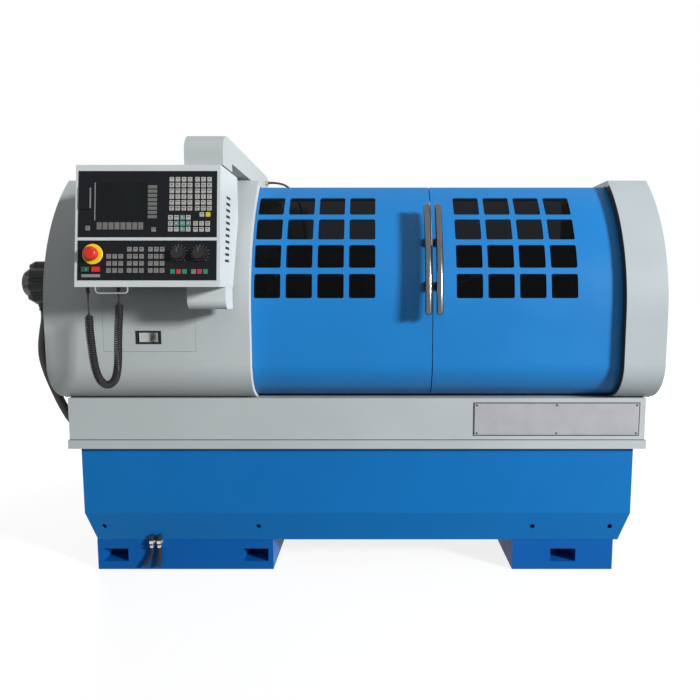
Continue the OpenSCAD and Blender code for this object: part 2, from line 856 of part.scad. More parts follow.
module motor_pulley() {
    shaft_x = pulley_x + pulley_w + motor_off + motor_shaft_in;
    color([0.55, 0.57, 0.58]) place() union() {
        rod_x(pulley_x, pulley_x + pulley_w, motor_y, motor_z, motor_pulley_r);
        rod_x(pulley_x, shaft_x, motor_y, motor_z, motor_shaft_r);
    }
}

module belt_side(grow) {
    hull() {
        translate([spindle_y, spindle_z]) circle(spindle_pulley_r + grow, $fn = 64);
        translate([motor_y, motor_z]) circle(motor_pulley_r + grow, $fn = 64);
    }
}

module belt() {
    edge = 10;
    color(black) place() along_x(pulley_x + edge, pulley_x + pulley_w - edge) difference() {
        belt_side(belt_gap + belt_t);
        belt_side(belt_gap);
    }
}

module spindle() {
    tail_in = 40;
    flange = 30;
    color([0.72, 0.73, 0.74]) place() difference() {
        union() {
            rod_x(left_x + tail_in, chuck_x, spindle_y, spindle_z, spindle_r);
            rod_x(pulley_x, pulley_x + pulley_w, spindle_y, spindle_z, spindle_pulley_r);
            rod_x(headstock_x1 + gap, chuck_x, spindle_y, spindle_z, spindle_r + flange);
        }
        rod_x(left_x, chuck_x + 1, spindle_y, spindle_z, bore_r);
    }
}

module chuck() {
    color([0.60, 0.61, 0.62]) place() difference() {
        rod_x(chuck_x, chuck_x1, spindle_y, spindle_z, chuck_r);
        rod_x(chuck_x - 1, chuck_x1 + 1, spindle_y, spindle_z, bore_r + 1);
        for (a = [0, 120, 240])
            translate([0, spindle_y, spindle_z]) rotate([a, 0, 0])
                block([chuck_x1 - jaw_slot, chuck_x1 + 1], [-jaw_w / 2, jaw_w / 2], [0, chuck_r + 1]);
    }
}

// Stepped jaw: how far each step stands out of the chuck, and its top below the chuck's rim
module jaw(a) {
    half = jaw_w / 2 - gap;
    steps = [[4, 4], [18, 18], [34, 38]];
    low = bore_r + jaw_in;
    color([0.70, 0.71, 0.72]) place() translate([0, spindle_y, spindle_z]) rotate([a, 0, 0]) union() {
        for (step = steps)
            block([chuck_x1 - jaw_slot + gap, chuck_x1 + step[0]], [-half, half], [low, chuck_r - step[1]]);
    }
}

module jaw_1() {
    jaw(0);
}

module jaw_2() {
    jaw(120);
}

module jaw_3() {
    jaw(240);
}

module z_motor() {
    x = bed_x1;
    plate = 65;
    plate_t = 12;
    half = 50;
    body_x = x + 110;
    end_len = 30;
    color([0.12, 0.12, 0.13]) place() union() {
        block([x, x + plate_t], [screw_y - plate, screw_y + plate + 5],
            [screw_z - plate, screw_z + plate - 5]);
        block([x + plate_t, body_x], [screw_y - half, screw_y + half], [screw_z - half, screw_z + half]);
        rod_x(body_x, body_x + end_len, screw_y, screw_z, half - 10);
    }
}

module z_screw() {
    color([0.72, 0.73, 0.74]) place()
        rod_x(screw_support[1] + gap, bed_x1 - gap, screw_y, screw_z, screw_r);
}

// Carriage
module saddle() {
    x = [saddle_x, saddle_x + saddle_len];
    over = 10;
    apron = 25;
    apron_down = 40;
    rail_end = 20;
    motor_half = 45;
    motor_len = 120;
    color([0.45, 0.47, 0.48]) place() difference() {
        union() {
            block(x, [bed_y - over - 5, bed_back_y + over], [way_z + gap, rail_z]);
            block(x, [bed_y - apron, bed_y + over], [screw_z - apron_down, rail_z - over]);
            block([x[0] + rail_end, x[1] - rail_end], [bed_y - over, bed_back_y + over - 5],
                [rail_z, slide_z]);
            block([turret_x - motor_half, turret_x + motor_half],
                [bed_back_y + over, bed_back_y + over + motor_len], [rail_z - saddle_h + 2, slide_z]);
        }
        rod_x(x[0] - 1, x[1] + 1, screw_y, screw_z, screw_r + gap);
    }
}

// Cross slide with two tee slots behind the turret
module cross_slide() {
    side = 15;
    x = [saddle_x + side, saddle_x + saddle_len - side];
    front = 105;
    back = 255;
    y = [turret_y - front, turret_y + back];
    slot_at = 55;
    slot_half = 6;
    slot_deep = 12;
    slot_back = 100;
    slot_y = turret_y + slot_back;
    color([0.50, 0.52, 0.53]) place() difference() {
        block(x, y, [slide_z + gap, turret_z]);
        for (dx = [-slot_at, slot_at])
            block([turret_x + dx - slot_half, turret_x + dx + slot_half], [slot_y, y[1] + 1],
                [turret_z - slot_deep, turret_z + 1]);
    }
}

// Square four-way turret with a bar tool in each side
module turret() {
    half = turret_w / 2;
    head_z = turret_z + 25;
    tool = 20;
    tool_in = 4;
    tool_out = 40;
    waist = 30;
    waist_h = 34;
    cap_h = 20;
    hub_h = 16;
    hub_r = 24;
    bolt_at = [-45, 0, 45];
    bolt_up = 8;
    bolt_r = 5;
    tool_z = spindle_z - tool;
    cap_z = tool_z + waist_h;
    color([0.30, 0.31, 0.32]) place() translate([turret_x, turret_y, 0]) union() {
        rod_z(0, 0, turret_z + gap, head_z, half - 15);
        block([-half, half], [-half, half], [head_z, tool_z]);
        block([-half + waist, half - waist], [-half + waist, half - waist], [tool_z, cap_z]);
        block([-half, half], [-half, half], [cap_z, cap_z + cap_h]);
        rod_z(0, 0, cap_z + cap_h, cap_z + cap_h + hub_h, hub_r);
        for (a = [0, 90, 180, 270]) rotate([0, 0, a]) {
            block([-half - tool_out, half - waist - 2], [half - tool - tool_in, half - tool_in],
                [tool_z, tool_z + tool]);
            for (d = bolt_at)
                rod_z(d, half - tool / 2 - tool_in, tool_z + tool, cap_z + cap_h + bolt_up, bolt_r);
        }
    }
}

module tailstock() {
    x = [tailstock_x, tailstock_x + tailstock_len];
    foot_z = way_z + 66;
    barrel_wall = 27;
    end_wall = 15;
    base_half = 85;
    neck_half = 50;
    color(cast_grey) place() difference() {
        union() {
            block(x, [bed_y, bed_back_y], [way_z + gap, foot_z]);
            along_x(x[0] + 20, x[1] - 10) polygon([
                [spindle_y - base_half, foot_z], [spindle_y - neck_half, spindle_z],
                [spindle_y + neck_half, spindle_z], [spindle_y + base_half, foot_z]
            ]);
            rod_x(x[0], x[0] + barrel_len, spindle_y, spindle_z, quill_r + barrel_wall);
        }
        rod_x(x[0] - 1, x[0] + barrel_len - end_wall, spindle_y, spindle_z, quill_r + gap);
        rod_x(x[0] + barrel_len - end_wall - 5, x[0] + barrel_len + 1, spindle_y, spindle_z,
            screw_end_r + gap);
    }
}

// Quill with a pointed centre in its nose
module quill() {
    x = tailstock_x;
    out = 45;
    collar = 15;
    point = 26;
    color([0.74, 0.75, 0.76]) place() union() {
        rod_x(x - out, x + barrel_len - 25, spindle_y, spindle_z, quill_r);
        rod_x(x - out - collar, x - out, spindle_y, spindle_z, centre_r);
        translate([x - out - collar - point, spindle_y, spindle_z]) rotate([0, 90, 0])
            cylinder(h = point, r1 = 1, r2 = centre_r);
    }
}

module handwheel() {
    x = tailstock_x + barrel_len;
    rim_x = x + 24;
    rim_r = 80;
    wire_r = 9;
    hub_r = 22;
    hub_len = 34;
    spoke_r = 6;
    grip_r = 7;
    grip_len = 50;
    color([0.20, 0.21, 0.22]) place() union() {
        rod_x(x - 12, x + gap, spindle_y, spindle_z, screw_end_r);
        rod_x(x + gap, x + hub_len, spindle_y, spindle_z, hub_r);
        translate([rim_x, spindle_y, spindle_z]) rotate([0, 90, 0])
            rotate_extrude() translate([rim_r - wire_r, 0]) circle(wire_r, $fn = 24);
        for (a = [0, 120, 240])
            translate([rim_x, spindle_y, spindle_z]) rotate([a, 0, 0])
                rod_z(0, 0, hub_r / 2, rim_r - wire_r, spoke_r);
        rod_x(rim_x, rim_x + grip_len, spindle_y + rim_r - wire_r, spindle_z, grip_r);
    }
}

// Doors
module door(x0, x1, seam0, seam1, first_window) {
    seam_deep = 18;
    difference() {
        union() {
            along_x(x0, x1) sheet_side(door_inset, door_z, door_top_z, sheet_t,
                top_rail_y + top_rail_w, rail_y + rail_w);
            along_x(seam0, seam1) sheet_side(door_inset, door_z, door_top_z, seam_deep,
                top_rail_y - 2, curl_r + 5);
        }
        for (column = [0:columns - 1], row = [0:rows - 1])
            translate([first_window + window_w / 2 + column * window_pitch, barrel_r, curve_z])
                rotate([90, 0, -90]) rotate([0, 0, first_row_angle + row * row_angle])
                    translate([door_r - 10, 0, 0]) rotate([90, 0, 90]) linear_extrude(20)
                        rounded(2 * door_r * sin(window_angle / 2), window_w, window_corner);
    }
}

module left_door() {
    x1 = seam_x - seam_gap / 2;
    color(door_blue) place()
        door(left_door_x, x1, x1 - sheet_t, x1, left_window_x);
}

module right_door() {
    x0 = seam_x + seam_gap / 2;
    color(door_blue) place()
        door(x0, right_door_x1, x0, x0 + sheet_t, right_window_x);
}

module glazing(first_window) {
    margin = 9;
    x0 = first_window - margin;
    x1 = first_window + (columns - 1) * window_pitch + window_w + margin;
    along_x(x0, x1) intersection() {
        sheet_side(door_inset + sheet_t, door_z + sheet_t, door_top_z - sheet_t, glazing_t, barrel_r, curl_r);
        translate([0, glazing_z[0]]) square([barrel_r, glazing_z[1] - glazing_z[0]]);
    }
}

module left_window() {
    color([0.04, 0.06, 0.09]) place() glazing(left_window_x);
}

module right_window() {
    color([0.04, 0.06, 0.09]) place() glazing(right_window_x);
}

// Curved pull bar on two posts
module door_handle(x) {
    bar_r = door_r + handle_gap;
    sweep = [1.5, 34];
    posts = [9.5, 24];
    color(chrome) place() translate([x, barrel_r, curve_z]) rotate([90, 0, -90]) union() {
        rotate([0, 0, sweep[0]]) rotate_extrude(angle = sweep[1] - sweep[0], $fn = 180)
            translate([bar_r, 0]) circle(handle_d / 2, $fn = 32);
        for (a = posts)
            rotate([0, 0, a]) translate([door_r, 0, 0]) rotate([0, 90, 0])
                cylinder(h = handle_gap, r = handle_d / 3, $fn = 32);
    }
}

module left_handle() {
    door_handle(seam_x - handle_off);
}

module right_handle() {
    door_handle(seam_x + handle_off);
}

// Hinged flap in the front of the headstock cover
module access_flap() {
    color(grey) place() union() {
        difference() {
            intersection() {
                along_x(flap_x[0] + flap_gap, flap_x[1] - flap_gap)
                    sheet_side(0, deck_z, top_z, sheet_t, back_y, curl_r);
                block(flap_x, [-1, barrel_r / 4], [flap_z[0] + flap_gap, flap_z[1] - flap_gap]);
            }
            block(latch_x, [-1, sheet_t + 1], latch_z);
            flap_barrels(false, barrel_gap);
        }
        flap_barrels(true, 0);
    }
}

module flap_latch() {
    rim = 7;
    color(chrome) place() difference() {
        block(latch_x, [-1, latch_depth], latch_z);
        block([latch_x[0] + rim, latch_x[1] - rim], [-2, latch_depth - sheet_t],
            [latch_z[0] + rim, latch_z[1] - rim]);
    }
}

// Hinge barrels beside the cabinet: the upper half of each hinge is the door's, the lower the cabinet's
module cabinet_barrels(upper, grow) {
    r = cabinet_hinge_r + grow;
    for (z = cabinet_hinges)
        if (upper)
            rod_z(cabinet_hinge_x, cabinet_hinge_y, z + barrel_gap - grow, z + cabinet_hinge_len + grow, r);
        else
            rod_z(cabinet_hinge_x, cabinet_hinge_y, z - cabinet_hinge_len - grow, z + grow, r);
}

// Electrical cabinet on the back
module cabinet() {
    inner_x = [cabinet_x[0] + sheet_t, cabinet_x[1] - sheet_t];
    inner_z = [cabinet_z[0] + sheet_t, cabinet_z[1] - sheet_t];
    color(back_grey) place() union() {
        difference() {
            block(cabinet_x, [back_y, cabinet_split_y], cabinet_z);
            block(inner_x, [back_y + sheet_t, cabinet_back_y], inner_z);
            cabinet_barrels(true, barrel_gap);
        }
        cabinet_barrels(false, 0);
    }
}

module cabinet_door() {
    front = cabinet_split_y + gap;
    color(back_grey) place() union() {
        difference() {
            block(cabinet_x, [front, cabinet_back_y], cabinet_z);
            block([cabinet_x[0] + sheet_t, cabinet_x[1] - sheet_t], [front - 1, cabinet_back_y - sheet_t],
                [cabinet_z[0] + sheet_t, cabinet_z[1] - sheet_t]);
            cabinet_barrels(false, barrel_gap);
        }
        cabinet_barrels(true, 0);
    }
}

// Arm that carries the control panel
module arm() {
    head_r = 60;
    head_z = arm_top_z - head_r;
    color(grey) place() difference() {
        along_x(arm_x - arm_w, arm_x) {
            intersection() {
                translate([swivel_y, head_z]) circle(head_r);
                translate([swivel_y - head_r, head_z]) square([2 * head_r, head_r]);
            }
            translate([swivel_y - head_r, arm_z]) square([2 * head_r, head_z - arm_z]);
            translate([swivel_y, beam_z]) square([arm_back_y - swivel_y, arm_h]);
            translate([barrel_r / 2, top_z]) square([arm_back_y - barrel_r / 2 - 20, beam_z - top_z]);
        }
        rod_z(swivel_x, swivel_y, arm_z - 1, arm_z + pivot_h + 10, pivot_r + gap);
    }
}

module light_cable() {
    color(black) place() tube(cable_route, cable_d, 8);
}

// Control panel
module panel_box() {
    step_z = panel_z + 229;
    deep_y = panel_y + panel_lean + panel_deep;
    vents = 11;
    vent_at = [panel_y + 105, panel_z + 82];
    vent_pitch = [2.7, 20];
    vent_half = [17, 3.5];
    vent_deep = 3;
    ring_r = 45;
    color([0.80, 0.82, 0.80]) place() difference() {
        union() {
            along_x(panel_x, arm_x) polygon([
                [panel_y, panel_z], [panel_y + panel_lean, panel_top_z], [deep_y, panel_top_z],
                [deep_y, step_z], [panel_back_y, panel_z]
            ]);
            rod_z(swivel_x, swivel_y, panel_top_z, arm_z - gap, ring_r);
            rod_z(swivel_x, swivel_y, panel_top_z, arm_z + pivot_h, pivot_r);
        }
        for (k = [0:vents - 1])
            translate([arm_x - vent_deep, vent_at[0] + k * vent_pitch[0], vent_at[1] + k * vent_pitch[1]])
                block([0, vent_deep + 1], [-vent_half[0], vent_half[0]], [-vent_half[1], vent_half[1]]);
        on_face() panel_bores();
    }
}

// Bores for the stems of the buttons and knobs
module panel_bores() {
    rod_y(estop_at[0], -bore_in, bore_in, estop_at[1], stem_d / 2 + gap);
    for (at = knob_at) rod_y(at[0], -bore_in, bore_in, at[1], knob_shaft_d / 2 + gap);
    for (at = [start_at, stop_at])
        block([at[0] - button_size[0] / 2 - gap, at[0] + button_size[0] / 2 + gap], [-bore_in, bore_in],
            [at[1] - button_size[1] / 2 - gap, at[1] + button_size[1] / 2 + gap]);
}

module display_fascia() {
    color(film) place() on_face() difference() {
        union() {
            block([fascia_margin, panel_w - fascia_margin], [-fascia_t, 0], display_z);
            block(port_x, [-fascia_t - port_h, 0], port_z);
        }
        block(screen_x, [-fascia_t - 1, 1], screen_z);
    }
}

module screen() {
    color([0.10, 0.12, 0.13]) place() on_face() block(screen_x, [-fascia_t + screen_in, 0], screen_z);
}

module machine_fascia() {
    color(film) place() on_face() difference() {
        block([fascia_margin, panel_w - fascia_margin], [-fascia_t, 0], machine_z);
        panel_bores();
    }
}

// Grid of square keys on a fascia
module key_grid(grid) {
    for (i = [0:grid[2] - 1], j = [0:grid[3] - 1])
        fascia_key([grid[0] + i * grid[4] - key / 2, grid[1] - j * grid[5] - key / 2], [key, key]);
}

// One key, from its lower left corner
module fascia_key(at, size) {
    block([at[0], at[0] + size[0]], [-fascia_t - key_t, -fascia_t], [at[1], at[1] + size[1]]);
}

module display_keys() {
    color(cream) place() on_face() {
        for (grid = display_grids) key_grid(grid);
        for (k = [0:soft_keys - 1]) {
            fascia_key([side_key_at[0], side_key_at[1] + k * side_key_pitch], side_key);
            fascia_key([low_key_at[0] + k * low_key_pitch, low_key_at[1]], low_key);
        }
    }
}

module machine_keys() {
    color(cream) place() on_face() for (grid = machine_grids) key_grid(grid);
}

module panel_handle() {
    from_left = 53;
    length = 98;
    from_front = 25;
    drop = 25;
    r = 4;
    x = [panel_x + from_left, panel_x + from_left + length];
    y = panel_y + from_front;
    color([0.80, 0.81, 0.82]) place() union() {
        for (leg = x) {
            rod_z(leg, y, panel_z - drop, panel_z, r);
            translate([leg, y, panel_z - drop]) sphere(r);
        }
        rod_x(x[0], x[1], y, panel_z - drop, r);
    }
}

module lower_box() {
    corner = 30;
    drop = 71;
    from_front = 78;
    sides = [4, 2];
    y = [panel_y + from_front, panel_back_y];
    color([0.72, 0.74, 0.74]) place() along_x(arm_x - arm_w - sides[0], arm_x - sides[1]) {
        translate([y[0] + corner, panel_z - drop]) square([y[1] - y[0] - corner, drop]);
        translate([y[0], panel_z - drop + corner]) square([y[1] - y[0], drop - corner]);
        translate([y[0] + corner, panel_z - drop + corner]) circle(corner);
    }
}

module cord_glands() {
    color([0.08, 0.08, 0.09]) place() for (p = [lead_a_route[0], lead_b_route[2]])
        rod_z(p[0], p[1], p[2], panel_z, lead_d / 2 + small_gland_wall);
}

module pendant_lead() {
    color(black) place() {
        tube(lead_a_route, lead_d, 8);
        tube(lead_b_route, lead_d, 8);
    }
}

module pendant_coil() {
    color(black) place() tube(coil_route, coil_d, 12);
}

// Mushroom head of the emergency stop, on its stem
module estop_button() {
    r = estop_d / 2;
    head = 20;
    round = 10;
    color([0.80, 0.08, 0.06]) place() on_face()
        translate([estop_at[0], 0, estop_at[1]]) rotate([90, 0, 0]) union() {
            translate([0, 0, -stem_in]) cylinder(h = stem_in + fascia_t + estop_h - head, r = stem_d / 2);
            translate([0, 0, fascia_t + estop_h - head]) rotate_extrude() {
                square([r, head - round]);
                square([r - round, head]);
                intersection() {
                    translate([r - round, head - round]) circle(round);
                    translate([r - round, head - round]) square(round);
                }
            }
        }
}

module push_button(at) {
    half = button_size / 2;
    place() on_face()
        block([at[0] - half[0], at[0] + half[0]], [-fascia_t - button_h, stem_in],
            [at[1] - half[1], at[1] + half[1]]);
}

module start_button() {
    color([0.10, 0.60, 0.25]) push_button(start_at);
}

module stop_button() {
    color([0.80, 0.10, 0.08]) push_button(stop_at);
}

// Dial knob with a grip bar on a round skirt
module knob(at) {
    r = knob_d / 2;
    color([0.05, 0.05, 0.06]) place() on_face()
        translate([at[0], -fascia_t, at[1]]) rotate([90, 0, 0]) union() {
            translate([0, 0, -fascia_t - stem_in])
                cylinder(h = stem_in + fascia_t + knob_skirt_h, r = knob_shaft_d / 2);
            translate([0, 0, gap]) cylinder(h = knob_skirt_h, r = r);
            translate([0, 0, gap]) cylinder(h = knob_h, r = r - knob_step);
        }
}

module feed_knob() {
    knob(knob_at[0]);
}

module speed_knob() {
    knob(knob_at[1]);
}

left_foot();
right_foot();
base_tray();
skirt();
pedestals();
bed();
headstock();
headstock_cover();
end_cap();
rear_guard();
door_rails();
spindle_guard();
hose_fittings();
drain_hose();
drain_tail_a();
drain_tail_b();
main_motor();
belt();
cabinet();
cabinet_door();
arm();
light_cable();
z_motor();
z_screw();
panel_box();
display_fascia();
screen();
machine_fascia();
display_keys();
machine_keys();
panel_handle();
lower_box();
cord_glands();
pendant_lead();
pendant_coil();
estop_button();
start_button();
stop_button();
feed_knob();
speed_knob();
left_door();
left_window();
left_handle();
right_door();
right_window();
right_handle();
spindle();
chuck();
jaw_1();
jaw_2();
jaw_3();
motor_pulley();
saddle();
cross_slide();
turret();
tailstock();
quill();
handwheel();
access_flap();
flap_latch();
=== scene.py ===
"""Looks of a flat-bed CNC turning lathe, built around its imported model. Metres, +Z up, +Y to the back."""

import json
import math

import bmesh
import bpy
from mathutils import Matrix, Vector


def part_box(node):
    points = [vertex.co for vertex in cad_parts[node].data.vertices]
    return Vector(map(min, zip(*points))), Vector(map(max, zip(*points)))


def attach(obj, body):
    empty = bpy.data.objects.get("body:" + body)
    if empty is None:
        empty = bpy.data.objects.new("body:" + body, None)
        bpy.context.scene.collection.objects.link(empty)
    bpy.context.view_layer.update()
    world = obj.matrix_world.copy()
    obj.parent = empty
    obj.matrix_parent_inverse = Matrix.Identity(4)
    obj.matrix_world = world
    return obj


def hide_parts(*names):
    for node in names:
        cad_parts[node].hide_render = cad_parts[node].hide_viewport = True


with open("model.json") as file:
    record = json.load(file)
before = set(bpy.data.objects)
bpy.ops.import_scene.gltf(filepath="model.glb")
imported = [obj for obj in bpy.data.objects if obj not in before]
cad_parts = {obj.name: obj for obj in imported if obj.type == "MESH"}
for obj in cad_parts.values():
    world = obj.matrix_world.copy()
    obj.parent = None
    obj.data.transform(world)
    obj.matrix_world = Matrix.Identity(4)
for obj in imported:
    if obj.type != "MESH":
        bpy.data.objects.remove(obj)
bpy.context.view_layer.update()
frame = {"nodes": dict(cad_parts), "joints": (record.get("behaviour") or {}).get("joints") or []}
NODES = frame["nodes"]
MM = 0.001

# Places read from the frame
COVER_LOW, COVER_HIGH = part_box("headstock_cover")
CAP_LOW, CAP_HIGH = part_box("end_cap")
SKIRT_LOW, SKIRT_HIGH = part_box("skirt")
PANEL_LOW, PANEL_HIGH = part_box("panel_box")
CABINET_LOW, CABINET_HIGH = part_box("cabinet_door")
LATCH_LOW, LATCH_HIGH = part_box("flap_latch")
JOINTS = {joint["name"]: joint for joint in frame["joints"]}

# Middle and left end of the enclosure's front, at floor level
FRONT = Vector(((COVER_LOW.x + CAP_HIGH.x) / 2, COVER_LOW.y, 0))
LEFT_END = Vector((COVER_LOW.x, COVER_LOW.y, 0))


def front_point(x, y, z):
    """A point given in millimetres from the middle of the enclosure's front, at floor level."""
    return FRONT + Vector((x, y, z)) * MM


# Materials
def new_material(name):
    """New Principled material, with its node tree, shader and texture coordinates."""
    mat = bpy.data.materials.new(name)
    mat.use_nodes = True
    tree = mat.node_tree
    shader = tree.nodes["Principled BSDF"]
    coords = tree.nodes.new("ShaderNodeTexCoord")
    return mat, tree, shader, coords


def add_noise(tree, coords, scale, detail=4.0, roughness=0.55):
    """Noise texture in object space."""
    noise = tree.nodes.new("ShaderNodeTexNoise")
    noise.inputs["Scale"].default_value = scale
    noise.inputs["Detail"].default_value = detail
    noise.inputs["Roughness"].default_value = roughness
    tree.links.new(coords.outputs["Object"], noise.inputs["Vector"])
    return noise


# Part of the noise's range that the looks spread over
NOISE_LOW = 0.3
NOISE_HIGH = 0.7


def vary_colour(tree, shader, noise, colour, spread):
    """Lets the base colour drift a little lighter and darker with the noise."""
    ramp = tree.nodes.new("ShaderNodeValToRGB")
    dark, light = ramp.color_ramp.elements
    dark.position = NOISE_LOW
    light.position = NOISE_HIGH
    dark.color = [c * (1 - spread) for c in colour] + [1]
    light.color = [min(1, c * (1 + spread)) for c in colour] + [1]
    tree.links.new(noise.outputs["Fac"], ramp.inputs["Fac"])
    tree.links.new(ramp.outputs["Color"], shader.inputs["Base Color"])


def vary_roughness(tree, shader, noise, low, high):
    """Roughness between two values, by the noise."""
    span = tree.nodes.new("ShaderNodeMapRange")
    span.inputs["From Min"].default_value = NOISE_LOW
    span.inputs["From Max"].default_value = NOISE_HIGH
    span.inputs["To Min"].default_value = low
    span.inputs["To Max"].default_value = high
    tree.links.new(noise.outputs["Fac"], span.inputs["Value"])
    tree.links.new(span.outputs["Result"], shader.inputs["Roughness"])


def add_bump(tree, shader, height, strength, distance):
    """Bump from a height socket."""
    bump = tree.nodes.new("ShaderNodeBump")
    bump.inputs["Strength"].default_value = strength
    bump.inputs["Distance"].default_value = distance
    tree.links.new(height, bump.inputs["Height"])
    tree.links.new(bump.outputs["Normal"], shader.inputs["Normal"])


def enamel(name, colour, roughness, peel=0.12, shine=0.3):
    """Sprayed enamel with orange peel and slight patches in tone and gloss."""
    mat, tree, shader, coords = new_material(name)
    patches = add_noise(tree, coords, scale=2.2, detail=3.0)
    vary_colour(tree, shader, patches, colour, spread=0.05)
    smears = add_noise(tree, coords, scale=9.0, detail=5.0)
    vary_roughness(tree, shader, smears, low=roughness * 0.85, high=roughness * 1.2)
    grain = add_noise(tree, coords, scale=420.0, detail=2.0)
    add_bump(tree, shader, grain.outputs["Fac"], peel, distance=0.0006)
    shader.inputs["Specular IOR Level"].default_value = shine
    return mat


def metal(name, colour, roughness, brush=(1, 1, 1), strength=0.08):
    """Bare metal with fine tool marks, stretched along the axes with a small brush factor."""
    mat, tree, shader, coords = new_material(name)
    mapping = tree.nodes.new("ShaderNodeMapping")
    mapping.inputs["Scale"].default_value = brush
    tree.links.new(coords.outputs["Object"], mapping.inputs["Vector"])
    marks = add_noise(tree, coords, scale=60.0, detail=6.0, roughness=0.65)
    tree.links.new(mapping.outputs["Vector"], marks.inputs["Vector"])
    vary_colour(tree, shader, marks, colour, spread=0.08)
    vary_roughness(tree, shader, marks, low=roughness * 0.7, high=roughness * 1.35)
    add_bump(tree, shader, marks.outputs["Fac"], strength, distance=0.0004)
    shader.inputs["Metallic"].default_value = 1.0
    return mat


def plastic(name, colour, roughness, grain=900.0, strength=0.06, spread=0.06, shine=0.3):
    """Moulded plastic or rubber with a fine grain."""
    mat, tree, shader, coords = new_material(name)
    patches = add_noise(tree, coords, scale=14.0)
    vary_colour(tree, shader, patches, colour, spread)
    vary_roughness(tree, shader, patches, low=roughness * 0.85, high=roughness * 1.15)
    fine = add_noise(tree, coords, grain, detail=2.0)
    add_bump(tree, shader, fine.outputs["Fac"], strength, distance=0.0003)
    shader.inputs["Specular IOR Level"].default_value = shine
    return mat


def ribbed_rubber(name, colour, ribs):
    """Rubber hose with rings along its length, by height."""
    mat, tree, shader, coords = new_material(name)
    patches = add_noise(tree, coords, scale=20.0)
    vary_colour(tree, shader, patches, colour, spread=0.15)
    vary_roughness(tree, shader, patches, low=0.42, high=0.6)
    wave = tree.nodes.new("ShaderNodeTexWave")
    wave.bands_direction = "Z"
    wave.inputs["Scale"].default_value = ribs
    wave.inputs["Distortion"].default_value = 0.0
    tree.links.new(coords.outputs["Object"], wave.inputs["Vector"])
    add_bump(tree, shader, wave.outputs["Fac"], strength=0.5, distance=0.0012)
    return mat


def painted_shade_acrylic(name, colour):
    """Acrylic sheet tinted near black, as painted shade of the dark inside behind it; a little of the inside
    shows.
    """
    mat, tree, shader, coords = new_material(name)
    haze = add_noise(tree, coords, scale=6.0)
    vary_roughness(tree, shader, haze, low=0.03, high=0.09)
    shader.inputs["Base Color"].default_value = colour + (1,)
    shader.inputs["Transmission Weight"].default_value = 0.9
    shader.inputs["Specular IOR Level"].default_value = 0.2
    shader.inputs["IOR"].default_value = 1.12
    return mat


MATS = {
    "grey": enamel("grey_enamel", (0.42, 0.455, 0.46), 0.42),
    "cap": enamel("cap_enamel", (0.375, 0.42, 0.443), 0.42),
    # Pale paint of the panel boxes, also used as the painted highlight on the cover's lip
    "pale": enamel("pale_paint_and_painted_highlight", (0.53, 0.57, 0.575), 0.40),
    "door": enamel("door_enamel", (0.006, 0.17, 0.47), 0.36, peel=0.08),
    "base": enamel("base_enamel", (0.003, 0.138, 0.41), 0.42, peel=0.14, shine=0.18),
    # Feet: a deeper blue than the tray, as painted shade of the shadow under the tray's overhang
    "foot": enamel("painted_shade_foot_enamel", (0.0015, 0.092, 0.345), 0.45, peel=0.14, shine=0.16),
    "iron": enamel("machine_iron", (0.16, 0.17, 0.18), 0.5, peel=0.3),
    "ways": metal("ground_ways", (0.42, 0.43, 0.44), 0.3, brush=(0.05, 1, 1)),
    "steel": metal("turned_steel", (0.56, 0.57, 0.58), 0.28, brush=(1, 0.2, 0.2)),
    # Handle steel much darker than bare steel: painted dark reflection of the surroundings
    "polished": metal("polished_painted_reflection_steel", (0.135, 0.138, 0.142), 0.17, brush=(1, 1, 0.08), strength=0.01),
    "chrome": metal("bright_chrome", (0.42, 0.425, 0.43), 0.14, strength=0.02),
    "zinc": metal("zinc_plate", (0.62, 0.62, 0.60), 0.32),
    "motor": enamel("motor_enamel", (0.035, 0.037, 0.042), 0.45, peel=0.2),
    "black": plastic("black_moulding", (0.013, 0.013, 0.014), 0.42, shine=0.25),
    "rubber": plastic("black_rubber", (0.012, 0.012, 0.013), 0.5, grain=500.0, strength=0.1, spread=0.15),
    "hose": ribbed_rubber("hose_rubber", (0.017, 0.016, 0.015), ribs=62.0),
    "fascia": plastic("fascia_film", (0.009, 0.010, 0.013), 0.40, grain=1400.0, strength=0.05, shine=0.09),
    "key": plastic("key_film", (0.36, 0.36, 0.335), 0.45),
    "dim_key": plastic("dim_key_film", (0.19, 0.19, 0.18), 0.45),
    "soft_key": plastic("soft_key_film", (0.13, 0.13, 0.13), 0.45),
    "mark": plastic("key_mark", (0.07, 0.07, 0.08), 0.5),
    "yellow": plastic("yellow_film", (0.80, 0.58, 0.02), 0.38),
    "mustard": plastic("yellow_key_film", (0.52, 0.43, 0.03), 0.42),
    "teal": plastic("teal_film", (0.015, 0.20, 0.20), 0.42),
    "red": plastic("red_button", (0.62, 0.018, 0.012), 0.25, grain=600.0, strength=0.02),
    "green": plastic("green_button", (0.008, 0.075, 0.04), 0.3, grain=600.0, strength=0.02),
    "green_key": plastic("green_key_film", (0.012, 0.22, 0.085), 0.4),
    "red_key": plastic("red_key_film", (0.50, 0.028, 0.045), 0.4),
    "plate": plastic("plate_film", (0.36, 0.365, 0.38), 0.4),
    "label": plastic("label_film", (0.22, 0.215, 0.22), 0.45),
    # Near-black tint of the windows: painted shade of the dark inside
    "window": painted_shade_acrylic("window_acrylic", (0.013, 0.015, 0.018)),
    "screen": plastic("screen_glass", (0.006, 0.008, 0.009), 0.12, grain=40.0, strength=0.0, spread=0.2,
                      shine=0.1),
    # Black rubber of the gasket and seals, also used for the dark pieces that are painted shade
    "shade": plastic("gasket_black_and_painted_shade", (0.02, 0.02, 0.021), 0.6),
}

